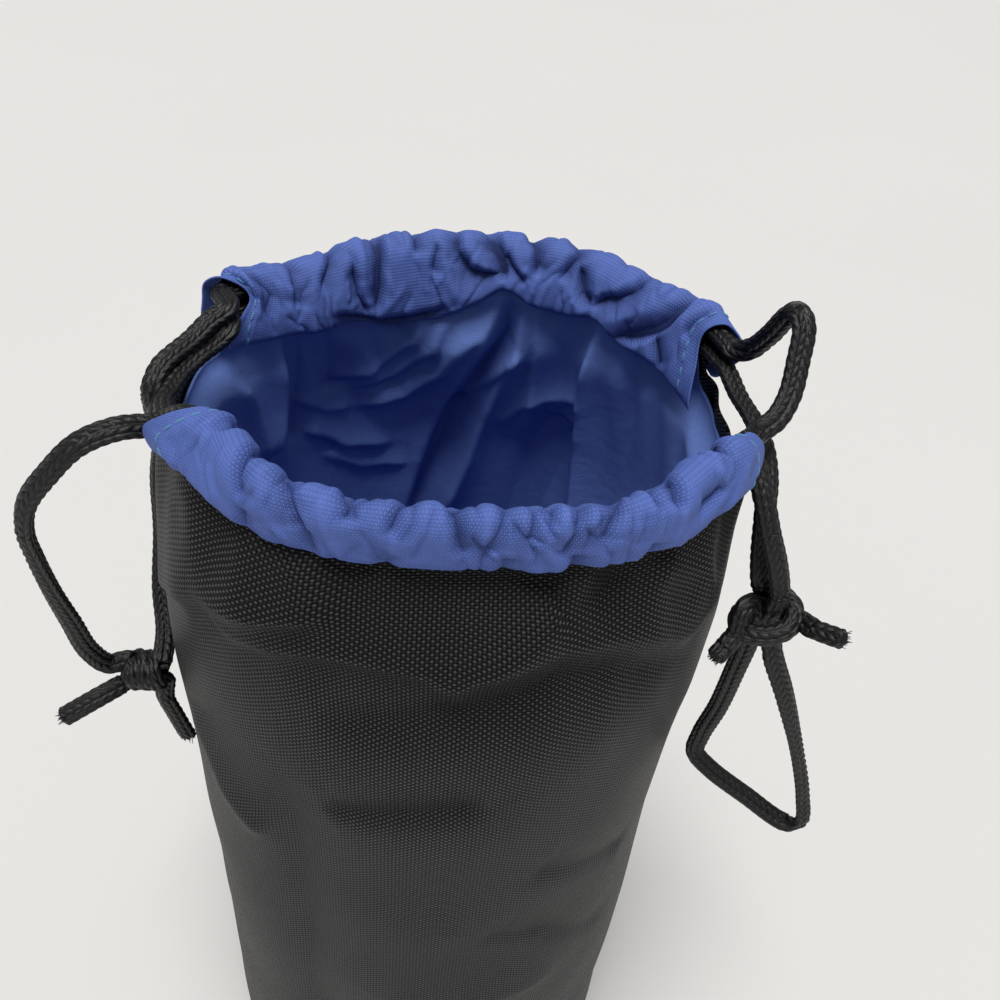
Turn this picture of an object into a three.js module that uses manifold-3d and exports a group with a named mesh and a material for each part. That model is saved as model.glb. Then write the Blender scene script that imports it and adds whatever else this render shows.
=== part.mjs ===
// Padded drawstring pouch for a camera lens: a round body of nylon, foam and lining, with two gathered
// casings round its mouth and two braided drawcords that run through both of them.
// Millimetres, +Z up, origin at the middle of the underside, front of the pouch towards -Y.
import * as THREE from "three";
import { mergeVertices } from "three/addons/utils/BufferGeometryUtils.js";
import Module from "manifold-3d";

// Body
const BODY_RADIUS = 57; // outer face of the round body
const WALL_TOP = 225; // top edge of the wall, where the casings are sewn on
const NECK_START = 178; // height where the wall starts to draw in
const MOUTH_HALF_WIDTH = 53; // outer face of the wall at its top edge, along X
const MOUTH_HALF_DEPTH = 44; // the same along Y
const MOUTH_FULLNESS = 2.5; // superellipse power of the mouth: 2 is an ellipse, more is squarer
const FOOT_ROUND = 5; // height of the wall's roll into the bottom seam
const FOOT_TUCK = 3; // how far that roll draws the wall in
const SIDE_DIP = 5; // how far the top edge falls between the casing ends

// Layers
const OUTER_CLOTH = 0.8;
const FOAM = 3;
const FOAM_AT_MOUTH = 1.2; // the foam is pressed thin where the neck is gathered
const LINING_CLOTH = 0.5;
const LAYER_GAP = 0.3; // between cloths and foam that lie on each other
const SEAM_GAP = 0.3; // between the front and the rear half at the side seams
const FOAM_BELOW_TOP = 2; // the foam ends short of the sewn top edge

// Cords
const CORD_DIAMETER = 3.6; // round, with the section of a flat braid 4.4 wide and 2.9 thick
const RUN_GAP = 0.5; // between the two cords inside a casing
const CORD_GAP = 0.3; // between the end faces of two stretches
const STRAIGHT_OUT = 2; // how far a cord keeps its direction outside a casing
const RUN_SPACING = CORD_DIAMETER + RUN_GAP;

// Casings
const CASING_CLOTH = 0.7;
const CASING_FLARE = 0.16; // outward lean, mm per mm of height
const GATHER_DEPTH = 1.3; // how far a pleat stands out
const ROOM_BESIDE = 1; // free space between the cords and the casing's sides
const ROOM_ABOVE = 1.15; // the same above and below the cords
const CASING_THICKNESS = CORD_DIAMETER + 2 * (ROOM_BESIDE + CASING_CLOTH + GATHER_DEPTH);
const CASING_HEIGHT = RUN_SPACING + CORD_DIAMETER + 2 * (ROOM_ABOVE + CASING_CLOTH + GATHER_DEPTH);
const FRONT_CASING = { from: 206, to: 334, gathers: 14 }; // degrees round the mouth, 270 is the front
const REAR_CASING = { from: 11, to: 164, gathers: 18 };

// Fineness of the surfaces
const BODY_ROWS = [0.5, 1]; // rows of points up to the neck, as shares of its start
const NECK_ROWS = [0.3, 0.52, 0.7, 0.86, 1]; // rows up the neck, as shares of its height
const WALL_COLUMNS = 18; // columns of points round half the wall
const SECTION_POINTS = 10; // points round a casing's section
const STEPS_PER_GATHER = 4;
const CHANNEL_STEPS = 18; // steps along the inside of a casing
const CORD_SIDES = 8;
const CORD_STEP = 2.5; // length of one step of a free cord, in diameters
const KNOT_STEP = 0.6; // the same inside a knot
const ROUTE_FINENESS = 60; // length samples between two points of a cord's route
const WELD = 1e-4; // corners this close together are one

const nylon = () => new THREE.MeshStandardMaterial({ color: 0x2b2b2d, roughness: 0.75, metalness: 0 });
const lining = () => new THREE.MeshStandardMaterial({ color: 0x2c3f86, roughness: 0.85, metalness: 0 });
const foam = () => new THREE.MeshStandardMaterial({ color: 0xd9d7cf, roughness: 0.95, metalness: 0 });
const braid = () => new THREE.MeshStandardMaterial({ color: 0x1b1b1d, roughness: 0.7, metalness: 0 });

const wasm = await Module();
wasm.setup();

const pouch = new THREE.Group();

function addPart(name, geometry, material) {
  const mesh = new THREE.Mesh(geometry, material);
  mesh.name = name;
  pouch.add(mesh);
}

// Geometry helpers

function closedGeometry(points, triangles) {
  const geometry = new THREE.BufferGeometry();
  geometry.setAttribute("position", new THREE.Float32BufferAttribute(points.flat(), 3));
  geometry.setIndex(triangles.flat());
  geometry.computeVertexNormals();
  return geometry;
}

function manifoldOf(geometry) {
  const bare = geometry.clone();
  bare.deleteAttribute("normal");
  bare.deleteAttribute("uv");
  const merged = mergeVertices(bare, WELD);
  const mesh = new wasm.Mesh({
    numProp: 3,
    vertProperties: merged.attributes.position.array,
    triVerts: new Uint32Array(merged.index.array),
  });
  return new wasm.Manifold(mesh);
}

// The union of pressed-together pieces, with any pocket that they close off filled.
function joined(geometries) {
  const union = (sum, next) => sum.add(next);
  const pressed = geometries.map(manifoldOf).reduce(union);
  const outsides = pressed.decompose().filter((shell) => shell.volume() > 0);
  const solid = outsides.reduce(union);
  const mesh = solid.getMesh();
  const geometry = new THREE.BufferGeometry();
  geometry.setAttribute("position", new THREE.BufferAttribute(mesh.vertProperties, mesh.numProp));
  geometry.setIndex(new THREE.BufferAttribute(mesh.triVerts, 1));
  geometry.computeVertexNormals();
  return geometry;
}

// The closed shell between two grids of points, rows[i][j], whose edges are joined all round.
function shellBetween(outerRows, innerRows) {
  const rows = outerRows.length;
  const columns = outerRows[0].length;
  const points = [...outerRows.flat(), ...innerRows.flat()];
  const outer = (i, j) => i * columns + j;
  const inner = (i, j) => rows * columns + i * columns + j;
  const triangles = [];
  const quad = (a, b, c, d) => triangles.push([a, b, c], [a, c, d]);
  for (let i = 0; i < rows - 1; i++) {
    for (let j = 0; j < columns - 1; j++) {
      quad(outer(i, j), outer(i, j + 1), outer(i + 1, j + 1), outer(i + 1, j));
      quad(inner(i, j), inner(i + 1, j), inner(i + 1, j + 1), inner(i, j + 1));
    }
    quad(outer(i, 0), outer(i + 1, 0), inner(i + 1, 0), inner(i, 0));
    const last = columns - 1;
    quad(outer(i, last), inner(i, last), inner(i + 1, last), outer(i + 1, last));
  }
  for (let j = 0; j < columns - 1; j++) {
    quad(outer(0, j), inner(0, j), inner(0, j + 1), outer(0, j + 1));
    const top = rows - 1;
    quad(outer(top, j), outer(top, j + 1), inner(top, j + 1), inner(top, j));
  }
  return closedGeometry(points, triangles);
}

const radians = THREE.MathUtils.degToRad;
const between = (a, b, share) => a + (b - a) * share;

// Wall of the pouch

// How far the wall is drawn in at a height: 0 on the body, 1 at the mouth.
const drawnIn = (z) => Math.max(0, (z - NECK_START) / (WALL_TOP - NECK_START)) ** 2;
const footRoll = (z) => FOOT_TUCK * Math.max(0, 1 - z / FOOT_ROUND) ** 2;
const wallHalfWidth = (z) => between(BODY_RADIUS, MOUTH_HALF_WIDTH, drawnIn(z)) - footRoll(z);
const wallHalfDepth = (z) => between(BODY_RADIUS, MOUTH_HALF_DEPTH, drawnIn(z)) - footRoll(z);
const foamAt = (z) => between(FOAM, FOAM_AT_MOUTH, drawnIn(z));

// A point on a superellipse with the given half sizes; power 2 gives an ellipse.
function ovalPoint(angle, halfWidth, halfDepth, power) {
  const along = (value) => Math.sign(value) * Math.abs(value) ** (2 / power);
  return [halfWidth * along(Math.cos(angle)), halfDepth * along(Math.sin(angle))];
}

// A point of the wall, a given depth inside its outer face.
function wallPoint(angle, z, depth) {
  const power = between(2, MOUTH_FULLNESS, drawnIn(z));
  const [x, y] = ovalPoint(angle, wallHalfWidth(z) - depth, wallHalfDepth(z) - depth, power);
  return [x, y, z];
}

// The top edge falls between the casings' ends, as a smooth dip round each side seam.
function topEdge(angle) {
  const reach = Math.sin(radians(180 - REAR_CASING.to));
  const side = Math.max(0, 1 - Math.abs(Math.sin(angle)) / reach);
  return WALL_TOP - SIDE_DIP * THREE.MathUtils.smoothstep(side, 0, 1);
}

// Depths of each layer's two faces, from the outer face of the wall inwards.
const layers = {
  outer: { face: () => 0, back: () => OUTER_CLOTH },
  foam: {
    face: () => OUTER_CLOTH + LAYER_GAP,
    back: (z) => OUTER_CLOTH + LAYER_GAP + foamAt(z),
  },
  lining: {
    face: (z) => OUTER_CLOTH + 2 * LAYER_GAP + foamAt(z),
    back: (z) => OUTER_CLOTH + 2 * LAYER_GAP + foamAt(z) + LINING_CLOTH,
  },
};

// One half of a layer of the wall, from the side seam at angle `from` to the one half a turn on. Its rows
// of points start at the heights in `footRows` and end `belowTop` under the wall's top edge.
function wallPanel(layer, from, footRows, belowTop) {
  const seam = SEAM_GAP / 2 / BODY_RADIUS;
  const rowHeights = (angle) => [
    ...footRows,
    ...BODY_ROWS.map((share) => share * NECK_START),
    ...NECK_ROWS.map((share) => between(NECK_START, topEdge(angle) - belowTop, share)),
  ];
  const grid = (depthAt) => {
    const columns = Array.from({ length: WALL_COLUMNS + 1 }, (_, j) => {
      const angle = from + between(seam, Math.PI - seam, j / WALL_COLUMNS);
      return rowHeights(angle).map((z) => wallPoint(angle, z, depthAt(z)));
    });
    return columns[0].map((_, row) => columns.map((column) => column[row]));
  };
  return shellBetween(grid(layer.face), grid(layer.back));
}

const FRONT = Math.PI; // angle of the seam where the front half starts
const REAR = 0;

const baseTop = OUTER_CLOTH + LAYER_GAP + FOAM + LAYER_GAP + LINING_CLOTH;
const outerFoot = [0, FOOT_ROUND / 3, (2 * FOOT_ROUND) / 3, FOOT_ROUND];
for (const [half, from] of [["front", FRONT], ["rear", REAR]]) {
  addPart(`outer_${half}_panel`, wallPanel(layers.outer, from, outerFoot, 0), nylon());
  addPart(`padding_${half}`, wallPanel(layers.foam, from, [FOOT_ROUND], FOAM_BELOW_TOP), foam());
  addPart(`lining_${half}_panel`, wallPanel(layers.lining, from, [baseTop + LAYER_GAP], 0), lining());
}

// Bottom of the pouch: three round layers

function disc(radius, bottom, thickness) {
  const profile = [
    new THREE.Vector2(0, bottom),
    new THREE.Vector2(radius, bottom),
    new THREE.Vector2(radius, bottom + thickness),
    new THREE.Vector2(0, bottom + thickness),
  ];
  return new THREE.LatheGeometry(profile, 2 * WALL_COLUMNS).rotateX(Math.PI / 2);
}

const baseRadius = wallHalfWidth(0) - OUTER_CLOTH - LAYER_GAP;
const foamBottom = OUTER_CLOTH + LAYER_GAP;
const liningBottom = foamBottom + FOAM + LAYER_GAP;
const liningBaseRadius = BODY_RADIUS - layers.lining.back(liningBottom);
addPart("outer_base", disc(baseRadius, 0, OUTER_CLOTH), nylon());
addPart("padding_base", disc(baseRadius, foamBottom, FOAM), foam());
addPart("lining_base", disc(liningBaseRadius, liningBottom, LINING_CLOTH), lining());

// Casings

const casingRing = OUTER_CLOTH + LAYER_GAP + FOAM_AT_MOUTH / 2; // wall's middle under the casing
const casingBottom = WALL_TOP + LAYER_GAP;
const casingMiddle = casingBottom + CASING_HEIGHT / 2;

// A point of a casing's section: `out` mm outwards and `up` mm above the middle of the sleeve.
function casingPoint(angle, out, up) {
  const reach = out + CASING_FLARE * (up + CASING_HEIGHT / 2) - casingRing;
  const [x, y] = ovalPoint(angle, MOUTH_HALF_WIDTH + reach, MOUTH_HALF_DEPTH + reach, MOUTH_FULLNESS);
  return [x, y, casingMiddle + up];
}

// A ring of a sleeve's section; pleats swell its top and sides and fade out at the sewn lower edge.
function casingRingPoints(angle, inset, pleat) {
  return Array.from({ length: SECTION_POINTS }, (_, k) => {
    const turn = (2 * Math.PI * k) / SECTION_POINTS;
    const free = 0.5 + 0.5 * Math.sin(turn);
    const swell = pleat * GATHER_DEPTH * free;
    const out = (CASING_THICKNESS / 2 - inset - GATHER_DEPTH + swell) * Math.cos(turn);
    const up = (CASING_HEIGHT / 2 - inset - (GATHER_DEPTH - swell) * free) * Math.sin(turn);
    return casingPoint(angle, out, up);
  });
}

// A sleeve round part of the mouth: gathered outside, a clear channel inside, open at both ends.
function casing({ from, to, gathers }) {
  const start = radians(from);
  const end = radians(to);
  const outerSteps = gathers * STEPS_PER_GATHER;
  const outerRings = Array.from({ length: outerSteps + 1 }, (_, i) => {
    const pleat = 0.5 - 0.5 * Math.cos((2 * Math.PI * i) / STEPS_PER_GATHER);
    return casingRingPoints(between(start, end, i / outerSteps), 0, pleat);
  });
  const innerRings = Array.from({ length: CHANNEL_STEPS + 1 }, (_, i) =>
    casingRingPoints(between(start, end, i / CHANNEL_STEPS), CASING_CLOTH, 0),
  );
  const points = [...outerRings.flat(), ...innerRings.flat()];
  const innerStart = outerRings.length * SECTION_POINTS;
  const outer = (i, k) => i * SECTION_POINTS + (k % SECTION_POINTS);
  const inner = (i, k) => innerStart + i * SECTION_POINTS + (k % SECTION_POINTS);
  const triangles = [];
  const quad = (a, b, c, d) => triangles.push([a, b, c], [a, c, d]);
  for (let k = 0; k < SECTION_POINTS; k++) {
    for (let i = 0; i < outerSteps; i++) {
      quad(outer(i, k), outer(i + 1, k), outer(i + 1, k + 1), outer(i, k + 1));
    }
    for (let i = 0; i < CHANNEL_STEPS; i++) {
      quad(inner(i, k), inner(i, k + 1), inner(i + 1, k + 1), inner(i + 1, k));
    }
    quad(outer(0, k), outer(0, k + 1), inner(0, k + 1), inner(0, k));
    const last = [outer(outerSteps, k), outer(outerSteps, k + 1)];
    quad(last[0], inner(CHANNEL_STEPS, k), inner(CHANNEL_STEPS, k + 1), last[1]);
  }
  return closedGeometry(points, triangles);
}

addPart("front_casing", casing(FRONT_CASING), lining());
addPart("rear_casing", casing(REAR_CASING), lining());

// Drawcords

const cordSection = () => {
  const section = new THREE.Shape();
  for (let k = 0; k < CORD_SIDES; k++) {
    const turn = (2 * Math.PI * k) / CORD_SIDES;
    const x = (CORD_DIAMETER / 2) * Math.cos(turn);
    const y = (CORD_DIAMETER / 2) * Math.sin(turn);
    if (k === 0) section.moveTo(x, y);
    else section.lineTo(x, y);
  }
  section.closePath();
  return section;
};

function cordAlong(curve, stepInDiameters) {
  const steps = Math.max(2, Math.round(curve.getLength() / (stepInDiameters * CORD_DIAMETER)));
  return new THREE.ExtrudeGeometry(cordSection(), { steps, extrudePath: curve });
}

const vector = ([x, y, z]) => new THREE.Vector3(x, y, z);

// The path of a cord inside a casing; the left cord lies over the right one.
class CasingRun extends THREE.Curve {
  constructor({ from, to }, up) {
    super();
    this.start = radians(from);
    this.end = radians(to);
    this.up = up;
  }
  getPoint(share, target = new THREE.Vector3()) {
    return target.set(...casingPoint(between(this.start, this.end, share), 0, this.up));
  }
}

// A part of a longer curve, between two shares of its length.
class Stretch extends THREE.Curve {
  constructor(curve, from, to) {
    super();
    this.curve = curve;
    this.from = from;
    this.to = to;
  }
  getPoint(share, target = new THREE.Vector3()) {
    return this.curve.getPointAt(between(this.from, this.to, share), target);
  }
}

const RUN_UP = { left: RUN_SPACING / 2, right: -RUN_SPACING / 2 };
const runs = {};
for (const cord of ["left", "right"]) {
  for (const [half, band] of [["front", FRONT_CASING], ["rear", REAR_CASING]]) {
    const run = new CasingRun(band, RUN_UP[cord]);
    runs[`${cord}_${half}`] = run;
    addPart(`${cord}_cord_${half}_run`, cordAlong(run, CORD_STEP / 2), braid());
  }
}

// Where a cord comes out of a casing: a face gap beyond the end of its run, and a little straight on.
function exitPoints(runName, atEnd) {
  const run = runs[runName];
  const tip = run.getPoint(atEnd ? 1 : 0);
  const way = run.getTangent(atEnd ? 1 : 0).multiplyScalar(atEnd ? 1 : -1);
  return [CORD_GAP, CORD_GAP + STRAIGHT_OUT].map((mm) => tip.clone().addScaledVector(way, mm).toArray());
}

// One smooth curve through the points, which can be cut into stretches at any of them. A stretch stops
// half a face gap short of the point that it shares with the next one.
function cordRoute(points) {
  const curve = new THREE.CatmullRomCurve3(points.map(vector), false, "centripetal");
  const last = points.length - 1;
  curve.arcLengthDivisions = last * ROUTE_FINENESS;
  const lengths = curve.getLengths();
  const total = lengths[lengths.length - 1];
  const halfGap = CORD_GAP / 2 / total;
  const shareAt = (index) => lengths[index * ROUTE_FINENESS] / total;
  const stretch = (first, end) => {
    const from = first === 0 ? 0 : shareAt(first) + halfGap;
    const to = end === last ? 1 : shareAt(end) - halfGap;
    return new Stretch(curve, from, to);
  };
  return { stretch, last };
}

const freeCord = (curve) => cordAlong(curve, CORD_STEP);
const knottedCord = (curve) => cordAlong(curve, KNOT_STEP);
const offsetFrom = ([x, y, z]) => ([dx, dy, dz]) => [x + dx, y + dy, z + dz];

// Left drawcord: both ends are twisted round each other into a plain knot beside the pouch.

const LEFT_KNOT = [-61.5, -18.5, 165];
const LEFT_KNOT_REACH = 1.17 * CORD_DIAMETER; // half the length of the twist, along X
const LEFT_KNOT_RADIUS = 0.445 * CORD_DIAMETER; // of each cord's path, tight enough to press together
const LEFT_KNOT_HALF_TURNS = 3;
const LEFT_KNOT_POINTS = 9;

// The path of one of the two cords through the twist: `side` is -1 from the left, 1 from the right.
function twistPoints(side) {
  return Array.from({ length: LEFT_KNOT_POINTS }, (_, i) => {
    const share = i / (LEFT_KNOT_POINTS - 1);
    const turn = LEFT_KNOT_HALF_TURNS * Math.PI * share;
    const along = side * between(LEFT_KNOT_REACH, -LEFT_KNOT_REACH, share);
    const across = side * LEFT_KNOT_RADIUS * Math.sin(turn);
    return offsetFrom(LEFT_KNOT)([along, across, LEFT_KNOT_RADIUS * Math.cos(turn)]);
  });
}

const [leftFrontExit, leftFrontOut] = exitPoints("left_front", false);
const [leftRearExit, leftRearOut] = exitPoints("left_rear", true);

const leftFrontLeadTop = [
  leftFrontExit, leftFrontOut,
  [-54, -18.5, 235.8], [-59, -23.5, 234.3], [-64, -27, 229.5], [-69, -28, 222], [-73, -27, 213.5],
];
const leftFrontLead = [
  [-74.3, -26, 204], [-74.4, -24, 191], [-73.4, -21.5, 177], [-70.8, -19.5, 169.5],
];
const leftFrontTail = [[-56.8, -17.5, 156], [-57.8, -16.8, 148.5], [-58.2, -17, 140]];
const leftFrontRoute = cordRoute([
  ...leftFrontLeadTop, ...leftFrontLead, ...twistPoints(-1), ...leftFrontTail,
]);
// The knot takes in one point of the lead and one of the tail, where the two cords are clear of each other.
const leftFrontKnotStart = leftFrontLeadTop.length + leftFrontLead.length - 1;
const leftFrontKnotEnd = leftFrontKnotStart + LEFT_KNOT_POINTS + 1;

const leftRearLeadTop = [
  leftRearExit, leftRearOut,
  [-54, 7.5, 234.2], [-56.5, 0, 232.6], [-58.2, -5.5, 229], [-59.6, -8.5, 222],
];
const leftRearLead = [
  [-61.2, -9, 211], [-62, -9, 197], [-61.6, -10.5, 184], [-58.8, -14, 173.5],
];
const leftRearTail = [[-69, -20.5, 162.2], [-74, -24, 160.2], [-78, -27, 158.8]];
const leftRearRoute = cordRoute([
  ...leftRearLeadTop, ...leftRearLead, ...twistPoints(1), ...leftRearTail,
]);
const leftRearKnotStart = leftRearLeadTop.length + leftRearLead.length - 1;
const leftRearKnotEnd = leftRearKnotStart + LEFT_KNOT_POINTS + 1;

const leftStretches = {
  left_cord_front_lead_top: leftFrontRoute.stretch(0, leftFrontLeadTop.length),
  left_cord_front_lead: leftFrontRoute.stretch(leftFrontLeadTop.length, leftFrontKnotStart),
  left_cord_front_tail: leftFrontRoute.stretch(leftFrontKnotEnd, leftFrontRoute.last),
  left_cord_rear_lead_top: leftRearRoute.stretch(0, leftRearLeadTop.length),
  left_cord_rear_lead: leftRearRoute.stretch(leftRearLeadTop.length, leftRearKnotStart),
  left_cord_rear_tail: leftRearRoute.stretch(leftRearKnotEnd, leftRearRoute.last),
};
const leftKnotCords = [
  leftFrontRoute.stretch(leftFrontKnotStart, leftFrontKnotEnd),
  leftRearRoute.stretch(leftRearKnotStart, leftRearKnotEnd),
];
addPart("left_cord_knot", joined(leftKnotCords.map(knottedCord)), braid());

// The left cord's slack stands up as a loop across the right gap.
const [leftBridgeRear, leftBridgeRearOut] = exitPoints("left_rear", false);
const [leftBridgeFront, leftBridgeFrontOut] = exitPoints("left_front", true);
const leftBridge = [
  leftBridgeRear, leftBridgeRearOut,
  [54.3, 6, 236.8], [55.8, 2.6, 242], [57, 0, 247.4], [57.8, -2.6, 249.6], [58.4, -5, 248.2],
  [57.8, -8.4, 243.8], [56.6, -12.4, 239], [54.2, -15.6, 236.2], [51.2, -17.6, 235],
  leftBridgeFrontOut, leftBridgeFront,
];
leftStretches.left_cord_bridge = cordRoute(leftBridge).stretch(0, leftBridge.length - 1);

// Right drawcord: a slipped knot with one hanging loop. The front end goes down through the knot, round
// the loop and up again; the rear end is wrapped round both of them.

const RIGHT_KNOT = [59.6, -27, 199.4];
// Paths inside the knot are given in cord diameters from its middle, so that it stays tight.
const inRightKnot = (points) =>
  points.map((point) => offsetFrom(RIGHT_KNOT)(point.map((diameters) => diameters * CORD_DIAMETER)));
const rightKnotDown = inRightKnot([
  [0.29, -0.14, 1.7], [0.24, -0.29, 0.95], [0.31, 0.1, 0], [0.52, 0.12, -0.95], [0.8, -0.07, -1.75],
]);
const rightKnotUp = inRightKnot([
  [-0.38, 0, -1.8], [-0.4, 0.14, -0.95], [-0.4, 0.19, -0.12], [-0.71, 0.19, 0.64], [-1.28, -0.24, 0.76],
  [-1.52, -0.67, 0.14], [-1.57, -0.86, -0.57],
]);
const rightKnotWrap = inRightKnot([
  [-0.48, 0.76, 1.67], [-0.14, 1.02, 1.1], [0.71, 0.81, 0.86], [1.33, 0, 0.62], [1, -1, 0.29],
  [0, -1.28, -0.14], [-1.05, -0.86, -0.48], [-1.33, 0.05, -0.62], [-0.81, 0.9, -0.67], [0.24, 1.05, -0.52],
  [1.1, 0.48, -0.24], [1.67, -0.33, 0.14],
]);

const [rightFrontExit, rightFrontOut] = exitPoints("right_front", true);
const [rightRearExit, rightRearOut] = exitPoints("right_rear", false);

const rightFrontLeadTop = [rightFrontExit, rightFrontOut, [51.6, -19.2, 228.8], [53.6, -22.4, 224.6]];
const rightFrontLead = [[55.8, -25.4, 218.6], [58.6, -27, 212]];
const rightLoop = [
  [63.8, -28, 189], [68.6, -29, 179], [76.3, -30, 161], [81.6, -31.6, 146], [83.2, -32.8, 137.6],
  [80.6, -31.4, 135], [71, -27.6, 139.6], [62, -24.6, 145.2], [58.2, -22.8, 148.8], [58, -22.6, 155],
  [58.8, -24, 167.4], [58.4, -26, 182],
];
const rightShortTail = [[52, -31.6, 195.2], [49.9, -33.4, 193.8]];
const rightFrontRoute = cordRoute([
  ...rightFrontLeadTop, ...rightFrontLead, ...rightKnotDown, ...rightLoop, ...rightKnotUp,
  ...rightShortTail,
]);
const rightDownStart = rightFrontLeadTop.length + rightFrontLead.length;
const rightDownEnd = rightDownStart + rightKnotDown.length - 1;
const rightUpStart = rightDownEnd + rightLoop.length + 1;
const rightUpEnd = rightUpStart + rightKnotUp.length; // takes in the first point of the tail

const rightRearLeadTop = [
  rightRearExit, rightRearOut,
  [53.2, 2, 228.8], [54.6, -5, 228.4], [55.6, -11.5, 227], [56, -16.6, 223.6],
];
const rightRearLead = [[56.2, -20, 217.6], [56.8, -22.4, 211]];
const rightLongTail = [[67.2, -31.8, 201.4], [69.2, -34, 202.4], [71.2, -36, 203.4]];
const rightRearRoute = cordRoute([
  ...rightRearLeadTop, ...rightRearLead, ...rightKnotWrap, ...rightLongTail,
]);
const rightWrapStart = rightRearLeadTop.length + rightRearLead.length;
const rightWrapEnd = rightWrapStart + rightKnotWrap.length;

const rightStretches = {
  right_cord_front_lead_top: rightFrontRoute.stretch(0, rightFrontLeadTop.length),
  right_cord_front_lead: rightFrontRoute.stretch(rightFrontLeadTop.length, rightDownStart),
  right_cord_loop: rightFrontRoute.stretch(rightDownEnd, rightUpStart),
  right_cord_short_tail: rightFrontRoute.stretch(rightUpEnd, rightFrontRoute.last),
  right_cord_rear_lead_top: rightRearRoute.stretch(0, rightRearLeadTop.length),
  right_cord_rear_lead: rightRearRoute.stretch(rightRearLeadTop.length, rightWrapStart),
  right_cord_long_tail: rightRearRoute.stretch(rightWrapEnd, rightRearRoute.last),
};
const rightKnotCords = [
  rightFrontRoute.stretch(rightDownStart, rightDownEnd),
  rightFrontRoute.stretch(rightUpStart, rightUpEnd),
  rightRearRoute.stretch(rightWrapStart, rightWrapEnd),
];
addPart("right_cord_knot", joined(rightKnotCords.map(knottedCord)), braid());

const [rightBridgeRear, rightBridgeRearOut] = exitPoints("right_rear", true);
const [rightBridgeFront, rightBridgeFrontOut] = exitPoints("right_front", false);
const rightBridge = [
  rightBridgeRear, rightBridgeRearOut,
  [-51.2, 6, 229.6], [-51.6, -3, 229.2], [-51.2, -11.5, 229.4],
  rightBridgeFrontOut, rightBridgeFront,
];
rightStretches.right_cord_bridge = cordRoute(rightBridge).stretch(0, rightBridge.length - 1);

for (const [name, curve] of Object.entries({ ...leftStretches, ...rightStretches })) {
  addPart(name, freeCord(curve), braid());
}

export default pouch;
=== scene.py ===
import math

import bpy
import numpy as np
from mathutils import Matrix, Vector


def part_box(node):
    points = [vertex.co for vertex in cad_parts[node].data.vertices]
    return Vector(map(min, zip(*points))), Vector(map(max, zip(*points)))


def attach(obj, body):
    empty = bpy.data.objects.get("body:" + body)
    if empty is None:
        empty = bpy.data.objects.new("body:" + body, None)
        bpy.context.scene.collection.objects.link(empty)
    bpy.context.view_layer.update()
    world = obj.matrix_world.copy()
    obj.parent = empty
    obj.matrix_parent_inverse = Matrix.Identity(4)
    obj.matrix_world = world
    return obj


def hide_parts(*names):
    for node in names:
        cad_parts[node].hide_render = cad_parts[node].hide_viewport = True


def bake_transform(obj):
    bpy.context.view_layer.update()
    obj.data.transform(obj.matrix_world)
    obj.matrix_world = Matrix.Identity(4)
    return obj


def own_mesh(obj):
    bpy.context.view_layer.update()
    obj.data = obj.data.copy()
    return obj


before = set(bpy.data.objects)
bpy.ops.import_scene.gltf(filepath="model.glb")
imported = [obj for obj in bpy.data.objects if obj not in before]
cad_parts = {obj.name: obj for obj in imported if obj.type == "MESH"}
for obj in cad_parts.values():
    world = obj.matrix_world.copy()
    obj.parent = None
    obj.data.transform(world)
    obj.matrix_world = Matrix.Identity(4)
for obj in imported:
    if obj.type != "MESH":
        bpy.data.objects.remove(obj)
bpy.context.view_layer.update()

MM = 0.001  # metres in a millimetre: sizes below are in millimetres, angles in degrees

# Sizes of the pouch, as in the solids
BODY_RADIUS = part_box("outer_front_panel")[1].x / MM
WALL_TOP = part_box("outer_front_panel")[1].z / MM
NECK_START = 178.0
MOUTH_HALF_WIDTH = 53.0
MOUTH_HALF_DEPTH = 44.0
MOUTH_FULLNESS = 2.5
FOOT_ROUND = 5.0
FOOT_TUCK = 3.0
SIDE_DIP = 5.0
SIDE_DIP_REACH = 16.0
CASING_HEIGHT = 14.0
CASING_FLARE = 0.16
CASING_RING = 1.7  # from the wall's outer face to the casing's middle
LAYER_GAP = 0.3  # from one solid to the next
CASING_MIDDLE = WALL_TOP + LAYER_GAP + CASING_HEIGHT / 2
CASINGS = {"front": (206.0, 334.0), "rear": (11.0, 164.0)}  # degrees round the mouth, 270 is the front

# Layers: thicknesses, and depths inside the wall's outer face
OUTER_CLOTH = 0.8
FOAM_DEPTH = 1.1
FOAM = 3.0
LINING_DEPTH = 4.4
LINING_CLOTH = 0.5
FOAM_AT_MOUTH = 1.2
SEAM_Y = -4.5  # plane of the side seams
SEAM_TUCK = 1.1  # how far the cloth is drawn in at the seams
SEAM_TUCK_REACH = 2.5

# Cords
BRAID_WIDTH = 4.4
BRAID_THICKNESS = 2.9
RUN_UP = {"left": 2.05, "right": -2.05}  # above a casing's middle
STRAIGHT_OUT = 2.0  # a cord leaves its casing straight for this long


# Meshes

def corners_of(table):
    """The four corners of each cell of a table."""
    return np.stack([table[:-1, :-1], table[:-1, 1:], table[1:, 1:], table[1:, :-1]], 2)


def grid_data(points, cloth, closed=False):
    """Vertices, quads and corner places of a sheet through rows of points. A closed sheet's rows are
    rings, and its `cloth`, each point's place on the flat cloth, has one column more."""
    rows, columns = points.shape[:2]
    index = np.arange(rows * columns).reshape(rows, columns)
    if closed:
        index = np.hstack([index, index[:, :1]])
    return points.reshape(-1, 3), corners_of(index).reshape(-1, 4), corners_of(cloth).reshape(-1, 2)


def add_object(name, data):
    thing = bpy.data.objects.new(name, data)
    bpy.context.scene.collection.objects.link(thing)
    return thing


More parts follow.
